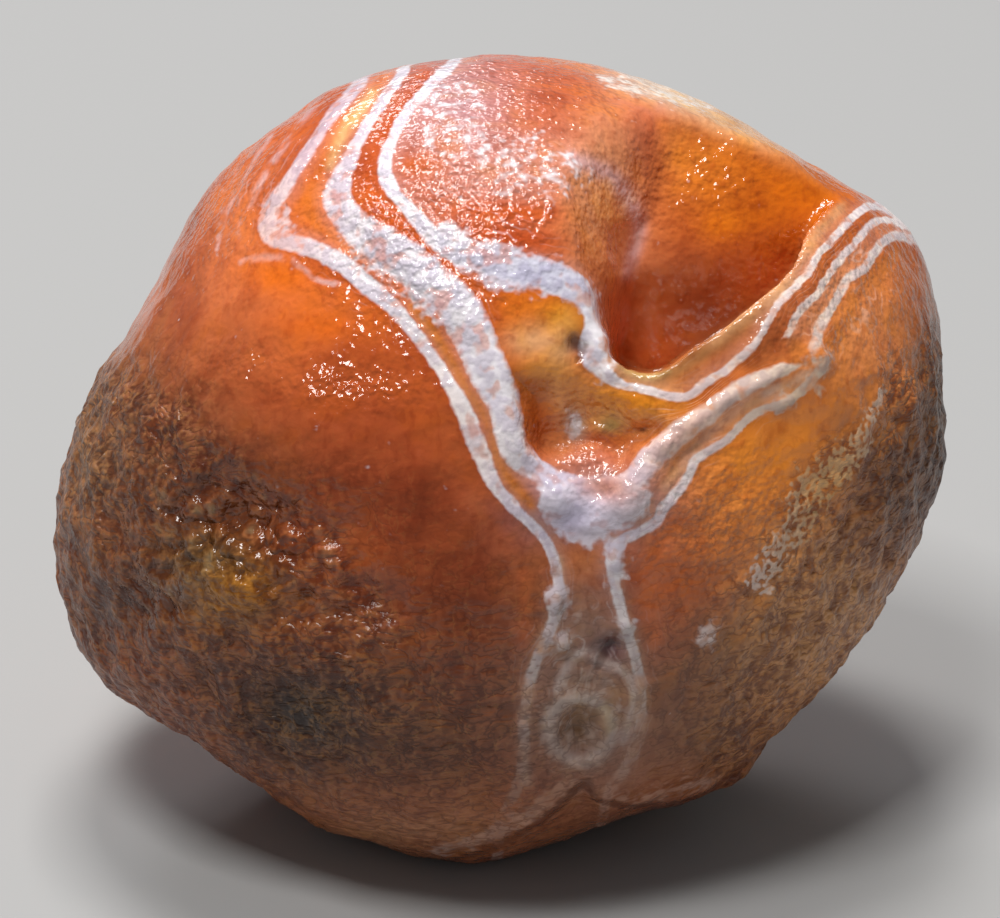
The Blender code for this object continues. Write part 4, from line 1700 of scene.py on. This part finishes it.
@dataclass(frozen=True)
class FineRelief:
    """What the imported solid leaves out: crust lumps, folds, raised bands, knobs and a slight waviness."""

    crust_height: float = 0.44 * MM
    crust_width: float = 2.0 * MM
    fold_depth: float = 0.18 * MM
    fold_widths: tuple[float, float, float] = (4.6 * MM, 1.7 * MM, 2.4 * MM)
    fold_sharpness: float = 0.10
    wave_height: float = 0.22 * MM
    wave_width: float = 3.0 * MM
    band_height: float = 0.03 * MM
    knobs: tuple[Swell, ...] = (
        Swell(Patch((604, 430), (20, 12)), 0.55 * MM),
        Swell(Patch((560, 405), (12, 24)), 0.50 * MM),
        Swell(Patch((640, 415), (16, 12)), 0.40 * MM),
        Swell(Patch((585, 452), (26, 10)), 0.35 * MM),
        Swell(Patch((548, 440), (9, 16)), -0.40 * MM),
        Swell(Patch((575, 346), (9, 12)), -0.50 * MM),
        Swell(Patch((601, 342), (9, 18)), 0.35 * MM),
        Swell(Patch((612, 372), (10, 10)), 0.30 * MM),
        Swell(Patch((560, 500), (18, 20)), 0.45 * MM),
        Swell(Patch((600, 494), (14, 12)), -0.35 * MM),
        Swell(Patch((626, 508), (16, 14)), 0.40 * MM),
        Swell(Patch((590, 525), (20, 10)), 0.35 * MM),
        Swell(Patch((553, 602), (9, 14)), 0.45 * MM),
        Swell(Patch((560, 645), (10, 10)), 0.40 * MM),
        Swell(Patch((615, 560), (9, 14)), 0.40 * MM),
        Swell(Patch((624, 626), (9, 9)), 0.40 * MM),
        Swell(Patch((612, 648), (14, 10)), -0.45 * MM),
        Swell(Patch((580, 728), (16, 16)), -0.45 * MM),
        Swell(Patch((580, 698), (26, 8)), 0.32 * MM),
        Swell(Patch((580, 762), (22, 8)), 0.32 * MM),
        Swell(Patch((606, 730), (8, 20)), 0.32 * MM),
        Swell(Patch((553, 730), (8, 20)), 0.32 * MM),
        Swell(Patch((664, 446), (12, 9), -40), 0.26 * MM),
        Swell(Patch((692, 424), (12, 7), -40), 0.20 * MM),
        Swell(Patch((722, 402), (14, 6), -30), 0.22 * MM),
        Swell(Patch((760, 384), (18, 6), -25), 0.20 * MM),
        Swell(Patch((694, 450), (26, 6), -40), -0.28 * MM),
        Swell(Patch((818, 360), (10, 16)), 0.40 * MM),
        Swell(Patch((784, 402), (13, 8), -25), 0.30 * MM),
        Swell(Patch((418, 474), (16, 26)), 0.24 * MM),
    )

    def heights(
        self,
        points: np.ndarray,
        places: np.ndarray,
        crust: np.ndarray,
        wrinkle: np.ndarray,
        stripe: np.ndarray,
    ) -> np.ndarray:
        """Works out how far each point is lifted along the skin's normal.

        Waves are plain noise. Bands stand up as 1 - a^2 across them. Crust adds higher, narrower noise. Folds
        are sunk by exp(-n^2) where folded noise n, stretched sideways, is near 0. Knobs are soft ovals.

        Args:
            points: N x 3 points of the skin, in metres.
            places: N x 2 pixels of the drawing.
            crust: how much crust covers each point, 0 to 1.
            wrinkle: how wrinkled each point is, 0 to 1.
            stripe: each point's place across its nearest band.

        Returns:
            N heights in metres.
        """
        waves = self.wave_height * layered_noise(points / self.wave_width, seed=3, layers=3)
        bands = self.band_height * np.clip(1 - stripe**2, 0, 1)
        lumps = self.crust_height * layered_noise(points / self.crust_width, seed=11, layers=3)
        folded = layered_noise(points / self.fold_widths, seed=29, layers=2, ridged=True)
        folds = self.fold_depth * np.exp(-((folded / self.fold_sharpness) ** 2))
        knobs = sum(knob.height * knob.patch.at(places) for knob in self.knobs)
        return waves + bands * (1 - crust) + crust * lumps - np.maximum(crust, wrinkle) * folds + knobs


@dataclass(frozen=True)
class Stone:
    """The agate pebble itself."""

    form: StoneForm = StoneForm()
    sphere: PatchSphere = PatchSphere()
    markings: Markings = Markings()
    relief: FineRelief = FineRelief()
    finish: AgateFinish = AgateFinish()

    def build(self) -> bpy.types.Object:
        """Makes the stone's skin, its markings and its finish.

        Returns:
            The stone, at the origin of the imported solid's frame.
        """
        directions, quads = self.sphere.build()
        skin = self.form.skin(directions)
        places = self.markings.drawn_places(skin)
        stripe, layer = self.markings.banding(places)
        crust = self.markings.crust(places)
        wrinkle = self.markings.amount(places, self.markings.wrinkled)
        lift = self.relief.heights(skin.points, places, crust, wrinkle, stripe)
        raised = skin.points + lift[:, None] * self.normals(skin.points, quads)
        mesh = self.mesh(self.form.sight.set_down(raised), quads)
        numbers = {
            "stripe": stripe,
            "layer": layer,
            "crust": crust,
            "hair": self.markings.thin(places, self.markings.hairs),
            "crack": self.markings.thin(places, self.markings.cracks),
            "cloud": self.markings.cloud(places),
            "fringe": self.markings.fringed(places),
            "laminae": self.markings.amount(places, self.markings.laminae),
            "wrinkle": wrinkle,
            "glaze": self.markings.amount(places, self.markings.glazed),
            "broken": self.markings.amount(places, self.markings.broken),
            "lumpy": self.markings.amount(places, self.markings.lumpy),
        }
        numbers.update({mottle.name: mottle.at(skin.points) for mottle in self.markings.mottles})
        for name, values in numbers.items():
            mesh.attributes.new(name, "FLOAT", "POINT").data.foreach_set("value", values.astype(np.float32))
        colours = {
            "tint": self.markings.tinted(places),
            "chalk": self.markings.coloured(places, self.markings.chalk_base, self.markings.chalk_zones),
        }
        for name, values in colours.items():
            filled = np.column_stack([values, np.ones(len(values))]).astype(np.float32)
            mesh.attributes.new(name, "FLOAT_COLOR", "POINT").data.foreach_set("color", filled.ravel())
        mesh.materials.append(self.finish.build("banded agate"))
        stone = bpy.data.objects.new("banded_agate_pebble", mesh)
        bpy.context.scene.collection.objects.link(stone)
        return stone

    def normals(self, points: np.ndarray, quads: np.ndarray) -> np.ndarray:
        """Works out the skin's normal at each point: the sum of its quads' diagonal cross products.

        Args:
            points: N x 3 points.
            quads: M x 4 corner numbers.

        Returns:
            N x 3 outward unit vectors.
        """
        first, second, third, fourth = (points[quads[:, i]] for i in range(4))
        facing = np.cross(third - first, fourth - second)
        total = np.zeros_like(points)
        for column in range(4):
            for axis in range(3):
                total[:, axis] += np.bincount(quads[:, column], facing[:, axis], len(points))
        return total / np.maximum(np.linalg.norm(total, axis=1), 1e-20)[:, None]

    def mesh(self, points: np.ndarray, quads: np.ndarray) -> bpy.types.Mesh:
        """Makes a smooth-shaded mesh.

        Args:
            points: N x 3 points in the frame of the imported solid.
            quads: M x 4 corner numbers.

        Returns:
            The mesh.
        """
        mesh = bpy.data.meshes.new("banded_agate_pebble")
        mesh.vertices.add(len(points))
        mesh.vertices.foreach_set("co", points.astype(np.float32).ravel())
        mesh.loops.add(quads.size)
        mesh.loops.foreach_set("vertex_index", quads.astype(np.int32).ravel())
        mesh.polygons.add(len(quads))
        mesh.polygons.foreach_set("loop_start", np.arange(0, quads.size, 4, dtype=np.int32))
        mesh.update(calc_edges=True)
        mesh.validate()
        mesh.shade_smooth()
        return mesh


@dataclass(frozen=True)
class Lamp:
    """A square soft lamp: where it hangs, how wide and strong it is, and its colour."""

    name: str
    way: tuple[float, float, float]
    distance: float
    width: float
    watts: float
    colour: tuple[float, float, float]

    def build(self, target: Vector) -> bpy.types.Object:
        """Hangs the lamp its own way from a target and turns it to face it.

        Args:
            target: the point that it lights.

        Returns:
            The lamp.
        """
        data = bpy.data.lights.new(self.name, "AREA")
        data.size = self.width
        data.energy = self.watts
        data.color = self.colour
        lamp = bpy.data.objects.new(self.name, data)
        way = Vector(self.way).normalized()
        lamp.location = target + way * self.distance
        lamp.rotation_mode = "QUATERNION"
        lamp.rotation_quaternion = (-way).to_track_quat("-Z", "Y")
        bpy.context.scene.collection.objects.link(lamp)
        return lamp


@dataclass(frozen=True)
class Studio:
    """The pale floor, the soft light and the camera."""

    sight: Sight = Sight()
    floor_width: float = 6.0
    floor_colour: tuple[int, int, int] = (168, 168, 168)
    floor_roughness: float = 0.9
    sensor: float = 36.0
    sky: float = 0.17
    sky_colour: tuple[float, float, float, float] = (0.96, 0.98, 1.0, 1)
    lamps: tuple[Lamp, ...] = (
        Lamp("key lamp", (-0.05, 0.20, 0.97), 0.60, 0.16, 2.4, (1.0, 0.98, 0.95)),
        Lamp("rear lamp", (-0.25, 0.80, 0.60), 0.60, 0.18, 0.9, (0.97, 0.97, 1.0)),
        Lamp("window lamp", (-0.22, -0.30, 0.94), 0.60, 0.16, 2.2, (1.0, 0.99, 0.97)),
    )

    def floor(self) -> bpy.types.Object:
        """Lays a flat pale floor under the stone.

        Returns:
            The floor.
        """
        half = self.floor_width / 2
        mesh = bpy.data.meshes.new("floor")
        corners = [(-half, -half, 0), (half, -half, 0), (half, half, 0), (-half, half, 0)]
        mesh.from_pydata(corners, [], [(0, 1, 2, 3)])
        graph = Graph("pale floor")
        graph.feed(graph.shader.inputs["Base Color"], (*linear(*self.floor_colour), 1))
        graph.feed(graph.shader.inputs["Roughness"], self.floor_roughness)
        mesh.materials.append(graph.material)
        floor = bpy.data.objects.new("floor", mesh)
        bpy.context.scene.collection.objects.link(floor)
        return floor

    def light(self) -> None:
        """Hangs the lamps and lights the sky evenly."""
        target = Vector((0, 0, self.sight.rest_height))
        for lamp in self.lamps:
            lamp.build(target)
        world = bpy.data.worlds.new("soft sky")
        world.use_nodes = True
        sky = world.node_tree.nodes["Background"]
        sky.inputs["Color"].default_value = self.sky_colour
        sky.inputs["Strength"].default_value = self.sky
        bpy.context.scene.world = world

    def camera(self) -> bpy.types.Object:
        """Puts the camera where the photograph was taken from: straight on to the banded face.

        Returns:
            The camera.
        """
        data = bpy.data.cameras.new("camera")
        data.sensor_width = self.sensor
        data.lens = self.sensor * self.sight.distance / (self.sight.picture[0] * self.sight.pixel)
        data.shift_y = (self.sight.face_centre[1] - self.sight.picture[1] / 2) / self.sight.picture[0]
        data.clip_start = self.sight.distance / 20
        camera = bpy.data.objects.new("camera", data)
        back = Vector((0, -math.cos(self.sight.lean), math.sin(self.sight.lean)))
        centre = Vector((*self.sight.shift, self.sight.rest_height))
        camera.location = centre + back * self.sight.distance
        camera.rotation_mode = "QUATERNION"
        camera.rotation_quaternion = (-back).to_track_quat("-Z", "Y")
        bpy.context.scene.collection.objects.link(camera)
        bpy.context.scene.camera = camera
        return camera


def main() -> None:
    """Builds the stone and the studio."""
    logging.basicConfig(level=logging.INFO, format="%(name)s: %(message)s")
    stone = Stone().build()
    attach(stone, "root")
    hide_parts(NODE)
    LOG.info("%s: %d quads", stone.name, len(stone.data.polygons))
    studio = Studio()
    studio.floor()
    studio.light()
    studio.camera()
    scene = bpy.context.scene
    scene.view_settings.view_transform = "Standard"
    LOG.info("studio: %d lamps", len(studio.lamps))


if __name__ == "__main__":
    main()
